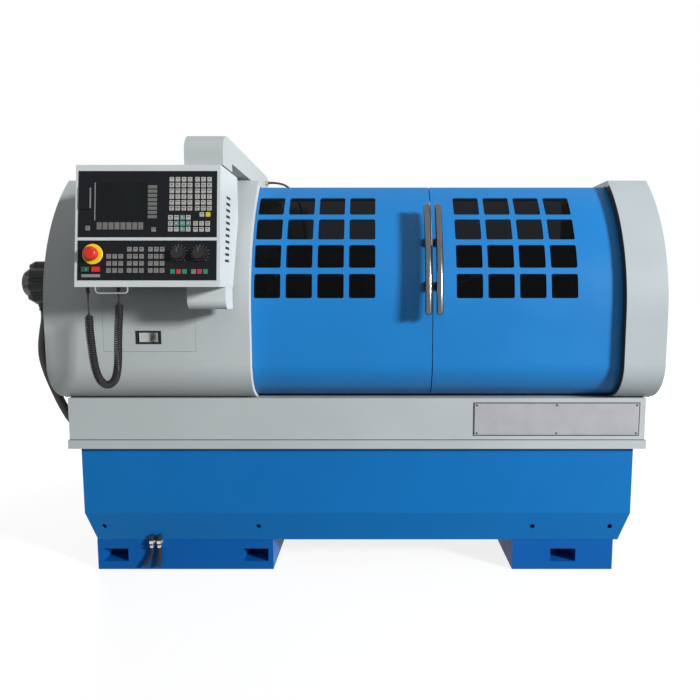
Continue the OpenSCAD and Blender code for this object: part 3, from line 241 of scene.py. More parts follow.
NODE_LOOKS = {
    "grey": ["skirt", "headstock_cover", "rear_guard", "cabinet", "cabinet_door", "arm",
             "access_flap", "headstock", "tailstock"],
    "cap": ["end_cap"],
    "pale": ["panel_box", "lower_box"],
    "door": ["left_door", "right_door"],
    "base": ["base_tray"],
    "foot": ["left_foot", "right_foot"],
    "iron": ["pedestals", "saddle", "cross_slide"],
    "ways": ["bed"],
    "steel": ["door_rails", "z_screw", "spindle", "chuck", "jaw_1", "jaw_2", "jaw_3", "quill",
              "motor_pulley"],
    "polished": ["left_handle", "right_handle"],
    "chrome": ["panel_handle"],
    "black": ["spindle_guard", "hose_fittings", "cord_glands", "feed_knob", "speed_knob", "flap_latch"],
    "rubber": ["belt"],
    "motor": ["main_motor", "z_motor", "turret", "handwheel"],
    "window": ["left_window", "right_window"],
    "fascia": ["display_fascia", "machine_fascia"],
    "screen": ["screen"],
    "red": ["estop_button", "stop_button"],
    "green": ["start_button"],
}
for look, names in NODE_LOOKS.items():
    for name in names:
        NODES[name].data.materials.clear()
        NODES[name].data.materials.append(MATS[look])

# Rounded edges on the folded and cast pieces, in millimetres
EDGE_ROUNDS = {
    "headstock_cover": 2.0, "end_cap": 2.0, "skirt": 2.5, "arm": 5.0, "panel_box": 4.0, "lower_box": 4.0,
    "base_tray": 2.5, "left_foot": 4.0, "right_foot": 4.0, "cabinet": 3.0, "cabinet_door": 3.0,
    "headstock": 5.0, "tailstock": 4.0, "saddle": 2.0, "cross_slide": 2.0, "turret": 1.5, "chuck": 2.5,
    "start_button": 1.2, "stop_button": 1.2, "flap_latch": 1.0, "bed": 1.0, "main_motor": 1.5,
}
EDGE_STEPS = 3
EDGE_ANGLE = 40.0
for name, width in EDGE_ROUNDS.items():
    bevel = NODES[name].modifiers.new("edge_round", "BEVEL")
    bevel.width = width * MM
    bevel.segments = EDGE_STEPS
    bevel.limit_method = "ANGLE"
    bevel.angle_limit = math.radians(EDGE_ANGLE)
    bevel.use_clamp_overlap = True
    bevel.harden_normals = False


# Pieces
def add_piece(name, bm, look, body, smooth=True):
    """Turns a bmesh into a piece that rides on a body."""
    mesh = mesh_from(name, bm, smooth)
    mesh.materials.append(MATS[look])
    piece = bpy.data.objects.new(name, mesh)
    bpy.context.scene.collection.objects.link(piece)
    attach(piece, body)
    return piece


def mesh_from(name, bm, smooth=True):
    """Turns a bmesh into a mesh; a smooth one keeps its sharp edges."""
    mesh = bpy.data.meshes.new(name)
    bmesh.ops.recalc_face_normals(bm, faces=bm.faces)
    bm.to_mesh(mesh)
    bm.free()
    for face in mesh.polygons:
        face.use_smooth = smooth
    if smooth:
        mesh.set_sharp_from_angle(angle=math.radians(35))
    return mesh


def add_block(bm, centre, size, matrix=None, bevel=0.0):
    """Adds a box to a bmesh, with rounded edges where a bevel is given.

    Rounded boxes are added last, because a plain form after one lists its faces in a new order each run.
    """
    made = bmesh.ops.create_cube(bm, size=1.0)["verts"]
    bmesh.ops.scale(bm, vec=size, verts=made)
    if bevel:
        edges = {edge for vert in made for edge in vert.link_edges}
        done = bmesh.ops.bevel(bm, geom=list(edges), offset=bevel, segments=2, affect="EDGES")
        made = list({vert for face in done["faces"] for vert in face.verts})
        made = list({v for vert in made for v in linked_verts(vert)})
    bmesh.ops.translate(bm, vec=centre, verts=made)
    if matrix is not None:
        bmesh.ops.transform(bm, matrix=matrix, verts=made)


def linked_verts(start):
    """All vertices joined to one by edges."""
    seen = {start}
    todo = [start]
    while todo:
        vert = todo.pop()
        for edge in vert.link_edges:
            other = edge.other_vert(vert)
            if other not in seen:
                seen.add(other)
                todo.append(other)
    return seen


def skin_rings(bm, rings):
    """Joins rings of vertices into a skin and closes both ends."""
    sides = len(rings[0])
    for low, high in zip(rings, rings[1:]):
        for k in range(sides):
            after = (k + 1) % sides
            bm.faces.new((low[k], low[after], high[after], high[k]))
    bm.faces.new(rings[0])
    bm.faces.new(rings[-1])


def add_turned(bm, profile, matrix, steps):
    """Adds a turned form: profile points are (radius, height) in metres, and a disc closes each end."""
    rings = []
    for radius, height in profile:
        ring = []
        for k in range(steps):
            angle = 2 * math.pi * k / steps
            spot = Vector((radius * math.cos(angle), radius * math.sin(angle), height))
            ring.append(bm.verts.new(matrix @ spot))
        rings.append(ring)
    skin_rings(bm, rings)


# Control panel: the leaning face gives right, out and up directions for everything on it.
# Places on the face are in millimetres: right, up and out.
PUSH_AXIS = Vector(JOINTS["estop_push"]["axis"])
FACE_ORIGIN = Vector((PANEL_LOW.x, PANEL_LOW.y, PANEL_LOW.z))
FACE_OUT = -PUSH_AXIS.normalized()
FACE_RIGHT = Vector((1, 0, 0))
FACE_UP = FACE_OUT.cross(FACE_RIGHT).normalized()
FACE = Matrix.Translation(FACE_ORIGIN) @ Matrix((FACE_RIGHT, FACE_UP, FACE_OUT)).transposed().to_4x4()
FASCIA_T = 1.5
KEY = 14.0
KEY_T = 1.2
KEY_BEVEL = 0.5


def on_face(u, w, out=0.0):
    """Matrix at a place on the panel's face."""
    return FACE @ Matrix.Translation(Vector((u, w, out)) * MM)


# Grids of keys by look: first key's place, keys across and down, pitch across and down
KEY_GRIDS = {
    "key": [
        (292.3, 327.4, 4, 6, 18.4, 17.7), (370.0, 327.4, 3, 6, 18.2, 17.7), (384.0, 220.0, 1, 1, KEY, KEY),
        (289.0, 211.0, 4, 1, 18.0, 18.0), (289.0, 193.0, 4, 1, 18.0, 18.0), (289.0, 175.0, 4, 1, 18.0, 18.0),
        (365.0, 192.6, 3, 2, 18.4, 18.4),
    ],
    "dim_key": [
        (39.0, 178.0, 1, 1, KEY, KEY), (238.5, 174.0, 1, 1, KEY, KEY), (103.7, 92.4, 3, 3, 18.3, 21.5),
        (166.0, 114.0, 3, 4, 18.4, 21.5), (229.7, 114.0, 3, 4, 17.7, 21.5), (360.5, 46.5, 1, 1, KEY, KEY),
    ],
    "mustard": [(402.8, 220.0, 1, 1, KEY, KEY)],
    "green_key": [
        (297.0, 46.5, 1, 1, KEY, KEY), (333.0, 46.5, 1, 1, KEY, KEY), (396.5, 46.5, 1, 1, KEY, KEY),
    ],
    "red_key": [(315.0, 46.5, 1, 1, KEY, KEY), (378.5, 46.5, 1, 1, KEY, KEY)],
}
# Keys that carry a coloured ring instead of a dark mark
RING_KEYS = [(325.0, 211.0), (307.0, 193.0), (325.0, 193.0), (343.0, 193.0), (325.0, 175.0)]
RING_OUT = 12.0
RING_W = 3.0
# Keys beside the screen and below it: size, first place and pitch
SOFT_KEYS = 8
SIDE_KEY = (28.0, 10.0)
SIDE_AT = (234.0, 213.0)
SIDE_PITCH = 13.0
FOOT_KEY = (15.0, 22.0)
FOOT_AT = (73.5, 185.0)
FOOT_PITCH = 18.0
# Printed marks on the keys: thickness, widths in turn, and offset and height of the upper and lower bar
MARK_T = 0.2
MARK_WIDTHS = (5.0, 7.5, 10.0)
UPPER_MARK = (2.2, 2.6)
LOWER_MARK = (-2.4, 2.2)
LOWER_SHARE = 0.6


def grid_places(grid):
    """Centres of the keys in a grid."""
    u, w, across, down, pitch_u, pitch_w = grid
    return [(u + i * pitch_u, w - j * pitch_w) for i in range(across) for j in range(down)]


def add_key(bm, u, w, wide, tall):
    """One key with rounded edges on the panel's face."""
    place = on_face(u, w, FASCIA_T + KEY_T / 2)
    add_block(bm, (0, 0, 0), Vector((wide, tall, KEY_T)) * MM, place, KEY_BEVEL * MM)


def add_mark(bm, u, w, wide, tall):
    """One printed bar on top of a key."""
    add_block(bm, (0, 0, 0), Vector((wide, tall, MARK_T)) * MM, on_face(u, w, FASCIA_T + KEY_T + MARK_T / 2))


def build_keys():
    """Keys with rounded edges, one piece per colour, with dark marks on most and rings on the arrow keys."""
    for look, grids in KEY_GRIDS.items():
        bm = bmesh.new()
        for grid in grids:
            for u, w in grid_places(grid):
                add_key(bm, u, w, KEY, KEY)
        add_piece("keys_" + look, bm, look, "panel")
    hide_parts("display_keys")
    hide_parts("machine_keys")
    bm = bmesh.new()
    for k in range(SOFT_KEYS):
        add_key(bm, SIDE_AT[0], SIDE_AT[1] + SIDE_PITCH * k, *SIDE_KEY)
        add_key(bm, FOOT_AT[0] + FOOT_PITCH * k, FOOT_AT[1], *FOOT_KEY)
    add_piece("keys_soft", bm, "soft_key", "panel")
    bm = bmesh.new()
    marked = KEY_GRIDS["key"] + KEY_GRIDS["dim_key"]
    places = [place for grid in marked for place in grid_places(grid)]
    for k, (u, w) in enumerate(places):
        if (u, w) in RING_KEYS:
            continue
        wide = MARK_WIDTHS[k % len(MARK_WIDTHS)]
        add_mark(bm, u, w + UPPER_MARK[0], wide, UPPER_MARK[1])
        if k % 2:
            add_mark(bm, u, w + LOWER_MARK[0], wide * LOWER_SHARE, LOWER_MARK[1])
    add_piece("key_marks", bm, "mark", "panel", False)
    bm = bmesh.new()
    reach = (RING_OUT - RING_W) / 2
    for u, w in RING_KEYS:
        for side in (-1, 1):
            add_mark(bm, u, w + side * reach, RING_OUT, RING_W)
            add_mark(bm, u + side * reach, w, RING_W, RING_OUT - 2 * RING_W)
    add_piece("key_rings", bm, "teal", "panel", False)


build_keys()

ESTOP_AT = (54.6, 99.2)
ESTOP_DISC = [(0.001, 0), (0.031, 0), (0.031, 0.0012), (0.030, 0.002), (0.001, 0.002)]
# Dials: place to the right with node and body of the knob, and height on the face
DIALS = ((314.5, "feed_knob", "feed_dial"), (378.8, "speed_knob", "speed_dial"))
DIAL_W = 100.0
TICK_STEPS = 12
TICK_SWEEP = 270.0
TICK_AT = (0.0, 26.5, 0.1)
TICK_W = 1.1
TICK_T = 0.2
TICK_LONG = 5.0
TICK_SHORT = 3.4
# Strips: place on the face, middle's height over the fascia, and size
FASCIA_STRIPS = (((60.0, 259.5), 0.4, (3.0, 115.0, 0.8)), ((47.0, 269.5), 3.2, (4.0, 62.0, 0.8)))
LABEL_STRIPS = (((50.0, 33.6), 0.3, (56.0, 9.0, 0.6)),)
STRIP_BEVEL = 0.2
GASKET = [(0.040, 0), (0.0465, 0), (0.0465, 0.0042), (0.040, 0.0042)]


def build_strips(name, strips):
    """Light strips on the panel's face."""
    bm = bmesh.new()
    for (u, w), out, size in strips:
        add_block(bm, (0, 0, 0), Vector(size) * MM, on_face(u, w, FASCIA_T + out), STRIP_BEVEL * MM)
    add_piece(name, bm, "label", "panel")


def build_panel_trim():
    """Stop button's yellow disc, dial ticks, screen strips, label strip and swivel gasket."""
    bm = bmesh.new()
    add_turned(bm, ESTOP_DISC, on_face(*ESTOP_AT, FASCIA_T), 64)
    add_piece("estop_disc", bm, "yellow", "panel")
    bm = bmesh.new()
    for u, _, _ in DIALS:
        for k in range(TICK_STEPS + 1):
            angle = math.radians(TICK_SWEEP * k / TICK_STEPS - TICK_SWEEP / 2)
            turn = on_face(u, DIAL_W, FASCIA_T) @ Matrix.Rotation(-angle, 4, "Z")
            long = TICK_LONG if k % 3 == 0 else TICK_SHORT
            add_block(bm, Vector(TICK_AT) * MM, Vector((TICK_W, long, TICK_T)) * MM, turn)
    add_piece("dial_ticks", bm, "label", "panel", False)
    build_strips("fascia_strips", FASCIA_STRIPS)
    build_strips("label_strip", LABEL_STRIPS)
    bm = bmesh.new()
    add_turned(bm, GASKET, Matrix.Translation(JOINTS["panel_swivel"]["pos_m"]), 64)
    add_piece("swivel_gasket", bm, "shade", "panel")


build_panel_trim()

# Loop handle: wire, bends, lift over the solid's lower edge and inset from its ends
WIRE_R = 2.8 * MM
WIRE_BEND = 10.0 * MM
WIRE_LIFT = 8.0 * MM
WIRE_INSET = 1.2 * MM
WIRE_SIDES = 16
BEND_STEPS = 8
LOOP_LOW, LOOP_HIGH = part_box("panel_handle")


def build_panel_loop():
    """Loop handle of bent wire under the panel, with rounded corners."""
    left, right = LOOP_LOW.x + WIRE_INSET + WIRE_R, LOOP_HIGH.x - WIRE_INSET - WIRE_R
    low, high = LOOP_LOW.z + WIRE_LIFT + WIRE_R, LOOP_HIGH.z
    middle_y = (LOOP_LOW.y + LOOP_HIGH.y) / 2
    path = [((left, high), (0, -1))]
    for corner_x, start in ((left + WIRE_BEND, 180), (right - WIRE_BEND, 270)):
        for k in range(BEND_STEPS + 1):
            angle = math.radians(start + 90 * k / BEND_STEPS)
            spot = (corner_x + WIRE_BEND * math.cos(angle), low + WIRE_BEND + WIRE_BEND * math.sin(angle))
            path.append((spot, (-math.sin(angle), math.cos(angle))))
    path.append(((right, high), (0, 1)))
    bm = bmesh.new()
    rings = []
    for (x, z), (run, rise) in path:
        ring = []
        for k in range(WIRE_SIDES):
            angle = 2 * math.pi * k / WIRE_SIDES
            across = WIRE_R * math.cos(angle)
            y = middle_y + WIRE_R * math.sin(angle)
            ring.append(bm.verts.new((x - rise * across, y, z + run * across)))
        rings.append(ring)
    skin_rings(bm, rings)
    loop = add_piece("panel_loop", bm, "chrome", "panel")
    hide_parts("panel_handle")


build_panel_loop()

START_BAR = (3.0, 9.0, 0.4)
START_BAR_RIGHT = 4.0 * MM
START_BAR_OUT = 0.1 * MM


def build_start_bar():
    """Light bar on the start button."""
    to_face = FACE.inverted()
    low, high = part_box("start_button")
    centre = to_face @ ((low + high) / 2)
    top = max((to_face @ vert.co).z for vert in NODES["start_button"].data.vertices)
    place = FACE @ Matrix.Translation((centre.x + START_BAR_RIGHT, centre.y, top + START_BAR_OUT))
    bm = bmesh.new()
    add_block(bm, (0, 0, 0), Vector(START_BAR) * MM, place)
    add_piece("start_bar", bm, "label", "start", False)


build_start_bar()

# Skirt: height of its rim and how far the rim stands out
RIM_H = 31.0 * MM
RIM_PROUD = 5.0 * MM
# Bare plate: ends right of the enclosure's middle, edges over the floor, and its border and screws
PLATE_X = (418.0, 1015.0)
PLATE_Z = (528.0, 650.0)
BORDER_T = 1.6 * MM
BORDER_BEVEL = 0.5 * MM
BORDER_W = 4.0 * MM
PLATE_T = 1.4 * MM
PLATE_BEVEL = 0.4 * MM
PLATE_OUT = 1.2 * MM
SCREW_IN = (12.0 * MM, 10.0 * MM)
SCREW_OUT = 2.5 * MM
PLATE_SCREW = [(0.0001, -0.0005), (0.004, -0.0005), (0.004, 0.0005), (0.003, 0.0014), (0.0001, 0.0018)]


def build_plate():
    """Bare plate on the right of the skirt, with its border line and screws."""
    left, right = (FRONT.x + x * MM for x in PLATE_X)
    low, high = (z * MM for z in PLATE_Z)
    face = SKIRT_LOW.y + RIM_PROUD
    middle = Vector(((left + right) / 2, face - BORDER_T / 2, (low + high) / 2))
    wide, tall = right - left, high - low
    bm = bmesh.new()
    add_block(bm, middle, Vector((wide, BORDER_T, tall)), None, BORDER_BEVEL)
    add_piece("plate_border", bm, "mark", "machine")
    bm = bmesh.new()
    size = Vector((wide - 2 * BORDER_W, PLATE_T, tall - 2 * BORDER_W))
    add_block(bm, middle - Vector((0, PLATE_OUT, 0)), size, None, PLATE_BEVEL)
    add_piece("plate_face", bm, "plate", "machine")
    bm = bmesh.new()
    for x in (left + SCREW_IN[0], middle.x, right - SCREW_IN[0]):
        for z in (low + SCREW_IN[1], high - SCREW_IN[1]):
            turn = Matrix.Translation((x, face - SCREW_OUT, z)) @ Matrix.Rotation(math.radians(90), 4, "X")
            add_turned(bm, PLATE_SCREW, turn, 20)
    add_piece("plate_screws", bm, "mark", "machine")


build_plate()

# Side view of the enclosure and doors, in millimetres: back from the front and up from the floor
ENCLOSURE_R = 650.0
CURVE_Z = 961.0
CURL_Z = 795.0
SHEET_CURL_R = 130.0
DOOR_IN = 30.0
DOOR_CURL_R = 125.0
DOOR_TOP = 1428.0
# Arc of the curl at the foot, in degrees: where it starts and how far it turns
CURL_START = 264.0
CURL_SWEEP = 84.0
CURL_STEPS = 12
# Black seals, their darkness partly painted shade, and a pale painted highlight on the cover's lip: gaps to
# the doors, edges on the lips, and thicknesses
SEAL_GAP = 0.6
HIGHLIGHT_IN = 0.4
HIGHLIGHT_GAP = 3.0
CAP_LIP = 3.4
SEAL_T = 1.2 * MM
HIGHLIGHT_T = 1.0 * MM
# Dark strips on the deck, painted shade of the crevices under the sheets and under the doors: front, back
# and height
SHEET_STRIP = (107.0, 127.0, 1.2)
DOOR_STRIP = (130.0, 160.0, 3.5)
STRIP_SHORT = 2.0 * MM
DECK_LIFT = 0.1 * MM


def seal_edge(inset, curl_r):
    """Points (back, up) of one edge of a door seal, from the deck up to the top of the door."""
    edge = []
    for k in range(CURL_STEPS + 1):
        angle = math.radians(CURL_START - CURL_SWEEP * k / CURL_STEPS)
        edge.append((inset + curl_r + curl_r * math.cos(angle), CURL_Z + curl_r * math.sin(angle)))
    radius = ENCLOSURE_R - inset
    top = math.asin((DOOR_TOP - CURVE_Z) / radius)
    steps = 2 * CURL_STEPS
    for k in range(steps + 1):
        angle = top * k / steps
        edge.append((ENCLOSURE_R - radius * math.cos(angle), CURVE_Z + radius * math.sin(angle)))
    return edge


def add_curved_sheet(bm, x0, x1, outer, inner):
    """Adds a thin sheet between two edges of the enclosure's side view."""
    rings = []
    for (y0, z0), (y1, z1) in zip(outer, inner):
        low = FRONT + Vector((0, y0, z0)) * MM
        high = FRONT + Vector((0, y1, z1)) * MM
        corners = ((x0, low), (x1, low), (x1, high), (x0, high))
        rings.append([bm.verts.new((x, p.y, p.z)) for x, p in corners])
    skin_rings(bm, rings)


def build_seals():
    """Black seals beside the doors, their darkness partly painted shade of the lips, a pale strip on the
    cover's lip as painted highlight, and dark deck strips as painted shade of the crevices under doors and
    sheets.
    """
    door_side = seal_edge(DOOR_IN - SEAL_GAP, DOOR_CURL_R + SEAL_GAP)
    highlight_end = seal_edge(DOOR_IN - HIGHLIGHT_GAP, DOOR_CURL_R + HIGHLIGHT_GAP)
    cap_side = seal_edge(CAP_LIP, SHEET_CURL_R - CAP_LIP)
    cover_side = seal_edge(HIGHLIGHT_IN, SHEET_CURL_R - HIGHLIGHT_IN)
    bm = bmesh.new()
    add_curved_sheet(bm, COVER_HIGH.x, COVER_HIGH.x + SEAL_T, highlight_end, door_side)
    add_curved_sheet(bm, CAP_LOW.x - SEAL_T, CAP_LOW.x, cap_side, door_side)
    strips = [(COVER_LOW.x, COVER_HIGH.x, SHEET_STRIP), (CAP_LOW.x, CAP_HIGH.x, SHEET_STRIP),
              (COVER_HIGH.x, CAP_LOW.x, DOOR_STRIP)]
    for x0, x1, (y0, y1, tall) in strips:
        z = SKIRT_HIGH.z + tall / 2 * MM + DECK_LIFT
        centre = Vector(((x0 + x1) / 2, FRONT.y + (y0 + y1) / 2 * MM, z))
        add_block(bm, centre, Vector((x1 - x0 - STRIP_SHORT, (y1 - y0) * MM, tall * MM)))
    # Seals and deck strips: black rubber whose darkness is also painted shade of the shaded lips and
    # crevices
    add_piece("painted_shade_seals_and_strips", bm, "shade", "machine", False)
    bm = bmesh.new()
    # Pale strip on the cover's lip where the key lamp falls: painted highlight
    add_curved_sheet(bm, COVER_HIGH.x, COVER_HIGH.x + HIGHLIGHT_T, cover_side, highlight_end)
    add_piece("cover_lip_painted_highlight", bm, "pale", "machine", False)


build_seals()

# Vents: first dark plate's place back and up from the panel's corner, pitch, and size; the plates are
# painted shade of the slots' hollows
VENTS = 11
VENT_START = (98.0, 82.0)
VENT_STEP = (4.1, 20.0)
VENT_SIZE = (0.9, 48.0, 8.0)


def build_vent_shade_plates():
    """Dark plate over each vent slot on the right side of the panel, as painted shade of the slot's hollow.
    """
    bm = bmesh.new()
    corner = Vector((PANEL_HIGH.x, PANEL_LOW.y, PANEL_LOW.z))
    for k in range(VENTS):
        place = Vector((0, VENT_START[0] + VENT_STEP[0] * k, VENT_START[1] + VENT_STEP[1] * k))
        add_block(bm, corner + place * MM, Vector(VENT_SIZE) * MM)
    add_piece("vent_shade_plates", bm, "shade", "panel", False)


build_vent_shade_plates()

# How far the dark joint line stands out, and its height; the line's darkness is painted shade of the joint
RIM_LINE = (1.2 * MM, 2.6 * MM)


def build_rim_line():
    """Dark line at the joint above the skirt's rim, on the front and both ends, its darkness painted shade
    of the joint.
    """
    proud, tall = RIM_LINE
    left, right = SKIRT_LOW.x + RIM_PROUD, SKIRT_HIGH.x - RIM_PROUD
    front, back = SKIRT_LOW.y + RIM_PROUD, SKIRT_HIGH.y - RIM_PROUD
    z = SKIRT_LOW.z + RIM_H + tall / 2
    bm = bmesh.new()
    add_block(bm, Vector(((left + right) / 2, front - proud / 2, z)), Vector((right - left, proud, tall)))
    for x in (left - proud / 2, right + proud / 2):
        add_block(bm, Vector((x, (front + back) / 2, z)), Vector((proud, back - front, tall)))
    add_piece("rim_line", bm, "mark", "machine", False)


build_rim_line()

CAP_FOOT_Y = 152.0 * MM
CAP_FOOT_T = 2.4 * MM
CAP_FOOT_LAP = 10.0 * MM
CAP_WALL = 3.4 * MM


def build_cap_foot():
    """Sheet that closes the foot of the end cap where it stands out past the skirt."""
    left, right = SKIRT_HIGH.x - RIM_PROUD - CAP_FOOT_LAP, CAP_HIGH.x - CAP_WALL
    front, back = FRONT.y + CAP_FOOT_Y, CAP_HIGH.y - CAP_WALL
    z = SKIRT_HIGH.z + DECK_LIFT + CAP_FOOT_T / 2
    bm = bmesh.new()
    middle = Vector(((left + right) / 2, (front + back) / 2, z))
    add_block(bm, middle, Vector((right - left, back - front, CAP_FOOT_T)))
    add_piece("cap_foot", bm, "cap", "machine", False)


build_cap_foot()

PADDLE = (64.0, 5.0, 34.0)
PADDLE_IN = 3.0
PADDLE_BEVEL = 1.5
PADDLE_STEM = (10.0, 9.0, 30.0)
STEM_BACK = 6.0


def build_latch_paddle():
    """Bright paddle in the middle of the flap's dark latch recess, on a stem."""
    middle = (LATCH_LOW + LATCH_HIGH) / 2
    middle.y = LATCH_LOW.y + PADDLE_IN * MM
    bm = bmesh.new()
    add_block(bm, middle + Vector((0, STEM_BACK, 0)) * MM, Vector(PADDLE_STEM) * MM)
    add_block(bm, middle, Vector(PADDLE) * MM, None, PADDLE_BEVEL * MM)
    add_piece("latch_paddle", bm, "chrome", "flap")


build_latch_paddle()

# Pull handles: centre of the doors' curve, bars by the angles of their ends, and posts by theirs
CURVE_AT = front_point(0, ENCLOSURE_R, CURVE_Z)
DOOR_R = (ENCLOSURE_R - DOOR_IN) * MM
HANDLE_GAP = 0.055
BAR_R = 0.012
BAR_SWEEP = (1.5, 34.0)
POST_ANGLES = (9.5, 24.0)
DOME_TIP = 0.0004
SLEEVE = [
    (0.0085, 0.0004), (0.017, 0.0004), (0.017, 0.005), (0.0115, 0.008), (0.0105, 0.040), (0.0085, 0.041),
]


def handle_spot(side, angle, radius):
    """Outward direction at an angle of a door's curve, and the point at a radius on its handle's plane."""
    low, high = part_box(side + "_handle")
    turn = math.radians(angle)
    out = Vector((0, -math.cos(turn), math.sin(turn)))
    return out, Vector(((low.x + high.x) / 2, CURVE_AT.y, CURVE_AT.z)) + out * radius


def aimed(place, direction):
    """Matrix at a place, with its Z axis along a direction."""
    return Matrix.Translation(place) @ direction.to_track_quat("Z", "X").to_matrix().to_4x4()


def build_bar_ends():
    """Round end on each end of the pull bars."""
    bends = [math.radians(angle) for angle in range(0, 90, 15)]
    dome = [(BAR_R * math.cos(bend), BAR_R * math.sin(bend)) for bend in bends]
    dome.append((DOME_TIP, BAR_R))
    for side in ("left", "right"):
        bm = bmesh.new()
        for angle, way in zip(BAR_SWEEP, (-1, 1)):
            out, end = handle_spot(side, angle, DOOR_R + HANDLE_GAP)
            along = Vector((0, out.z, -out.y)) * way
            add_turned(bm, dome, aimed(end, along), 32)
        add_piece(side + "_bar_ends", bm, "polished", side + "_door")


build_bar_ends()


def build_sleeves():
    """Black sleeves and feet around the handle posts."""
    for side in ("left", "right"):
        bm = bmesh.new()
        for angle in POST_ANGLES:
            out, foot = handle_spot(side, angle, DOOR_R)
            add_turned(bm, SLEEVE, aimed(foot, out), 32)
        add_piece(side + "_sleeves", bm, "black", side + "_door")


build_sleeves()

# Pointer on a knob's top and on its collar: up from the dial's middle, out of the fascia, and length
KNOB_MARKS = ((9.5, 20.5, 14.0), (20.0, 5.5, 5.0))
KNOB_MARK_W = 1.8
KNOB_MARK_T = 0.4


def build_knob_marks():
    """Dull pointer on each dial knob."""
    for u, node, body in DIALS:
        bm = bmesh.new()
        for up, out, long in KNOB_MARKS:
            size = Vector((KNOB_MARK_W, long, KNOB_MARK_T)) * MM
            add_block(bm, Vector((0, up, 0)) * MM, size, on_face(u, DIAL_W, FASCIA_T + out))
        add_piece(node + "_mark", bm, "soft_key", body, False)


build_knob_marks()

# Drain spigots and the cable's gland, in millimetres from the left end of the enclosure's front
SPIGOT_X = (291, 319)
SPIGOT_Y = 120
CLAMP_Z = 94
NUT_Z = 109
CLAMP_BAND = [(0.0064, 0), (0.0082, 0), (0.0082, 0.009), (0.0064, 0.009)]
CLAMP_SCREW = (12.0, 6.0, 8.0)
CLAMP_SCREW_AT = (2.0, -9.5, 4.5)
CLAMP_BEVEL = 1.0
SPIGOT_NUT = [(0.0079, 0), (0.0125, 0), (0.0125, 0.011), (0.0079, 0.011)]
GLAND_AT = (668, 600, 1505)
GLAND_NUT = [(0.0076, 0.001), (0.0115, 0.001), (0.0115, 0.010), (0.0076, 0.010)]
NUT_SIDES = 6


def build_clamps():
    """Bright nuts and worm clamps on the drain spigots, and a nut at the cable's gland."""
    bm = bmesh.new()
    bands = [Matrix.Translation(LEFT_END + Vector((x, SPIGOT_Y, CLAMP_Z)) * MM) for x in SPIGOT_X]
    for x, band in zip(SPIGOT_X, bands):
        add_turned(bm, CLAMP_BAND, band, 32)
        nut = Matrix.Translation(LEFT_END + Vector((x, SPIGOT_Y, NUT_Z)) * MM)
        add_turned(bm, SPIGOT_NUT, nut, NUT_SIDES)
    gland = Matrix.Translation(LEFT_END + Vector(GLAND_AT) * MM) @ Matrix.Rotation(math.radians(-90), 4, "Y")
    add_turned(bm, GLAND_NUT, gland, NUT_SIDES)
    for band in bands:
        add_block(bm, Vector(CLAMP_SCREW_AT) * MM, Vector(CLAMP_SCREW) * MM, band, CLAMP_BEVEL * MM)
    add_piece("hose_clamps", bm, "zinc", "machine")


build_clamps()

# Cabinet door: latches by their distance from the edge and the middle, louvres by groups
CABINET_LATCH = [(0.001, -0.001), (0.017, -0.001), (0.017, 0.003), (0.014, 0.006), (0.001, 0.006)]
CABINET_LATCH_IN = 0.045
CABINET_LATCH_OFF = 0.3
LATCH_WING = (8.0, 26.0, 11.0)
LATCH_WING_OUT = 11.0
LATCH_WING_BEVEL = 2.0
LOUVRES = 8
LOUVRE = (220.0, 1.6, 9.0)
LOUVRE_BEVEL = 0.6
LOUVRE_PITCH = 0.014
LOUVRE_LEAN = -28.0
LOUVRE_OUT = 0.001
LOUVRES_FROM_FOOT = 0.12
LOUVRES_FROM_TOP = 0.22


def build_cabinet_trim():
    """Quarter-turn latches and louvres on the cabinet door at the back."""
    right = CABINET_HIGH.x
    back = CABINET_HIGH.y
    middle_z = (CABINET_LOW.z + CABINET_HIGH.z) / 2
    to_back = Matrix.Rotation(math.radians(-90), 4, "X")
    bm = bmesh.new()
    heights = (middle_z - CABINET_LATCH_OFF, middle_z + CABINET_LATCH_OFF)
    turns = [Matrix.Translation((right - CABINET_LATCH_IN, back, z)) @ to_back for z in heights]
    for turn in turns:
        add_turned(bm, CABINET_LATCH, turn, 40)
    wing_at = Vector((0, 0, LATCH_WING_OUT)) * MM
    for turn in turns:
        add_block(bm, wing_at, Vector(LATCH_WING) * MM, turn, LATCH_WING_BEVEL * MM)
    add_piece("cabinet_latches", bm, "black", "cabinet_door")
    bm = bmesh.new()
    for group in (CABINET_LOW.z + LOUVRES_FROM_FOOT, CABINET_HIGH.z - LOUVRES_FROM_TOP):
        for k in range(LOUVRES):
            place = Vector(((CABINET_LOW.x + right) / 2, back + LOUVRE_OUT, group + LOUVRE_PITCH * k))
            hood = Matrix.Translation(place) @ Matrix.Rotation(math.radians(LOUVRE_LEAN), 4, "X")
            add_block(bm, (0, 0, 0), Vector(LOUVRE) * MM, hood, LOUVRE_BEVEL * MM)
    add_piece("cabinet_louvres", bm, "grey", "cabinet_door")


build_cabinet_trim()


# Cords
def spline_curve(name, points, diameter, look, smooth=True):
    """One open spline through the points, with a round section."""
    data = bpy.data.curves.new(name, "CURVE")
    data.dimensions = "3D"
    data.bevel_depth = diameter / 2
    data.bevel_resolution = 5
    data.use_fill_caps = True
    if smooth:
        spline = data.splines.new("BEZIER")
        spline.bezier_points.add(len(points) - 1)
        for knot, p in zip(spline.bezier_points, points):
            knot.co = p
            knot.handle_left_type = "AUTO"
            knot.handle_right_type = "AUTO"
        data.resolution_u = 8
    else:
        spline = data.splines.new("POLY")
        spline.points.add(len(points) - 1)
        for knot, p in zip(spline.points, points):
            knot.co = (*p, 1)
        data.bevel_resolution = 3
    data.materials.append(MATS[look])
    piece = bpy.data.objects.new(name, data)
    bpy.context.scene.collection.objects.link(piece)
    return piece


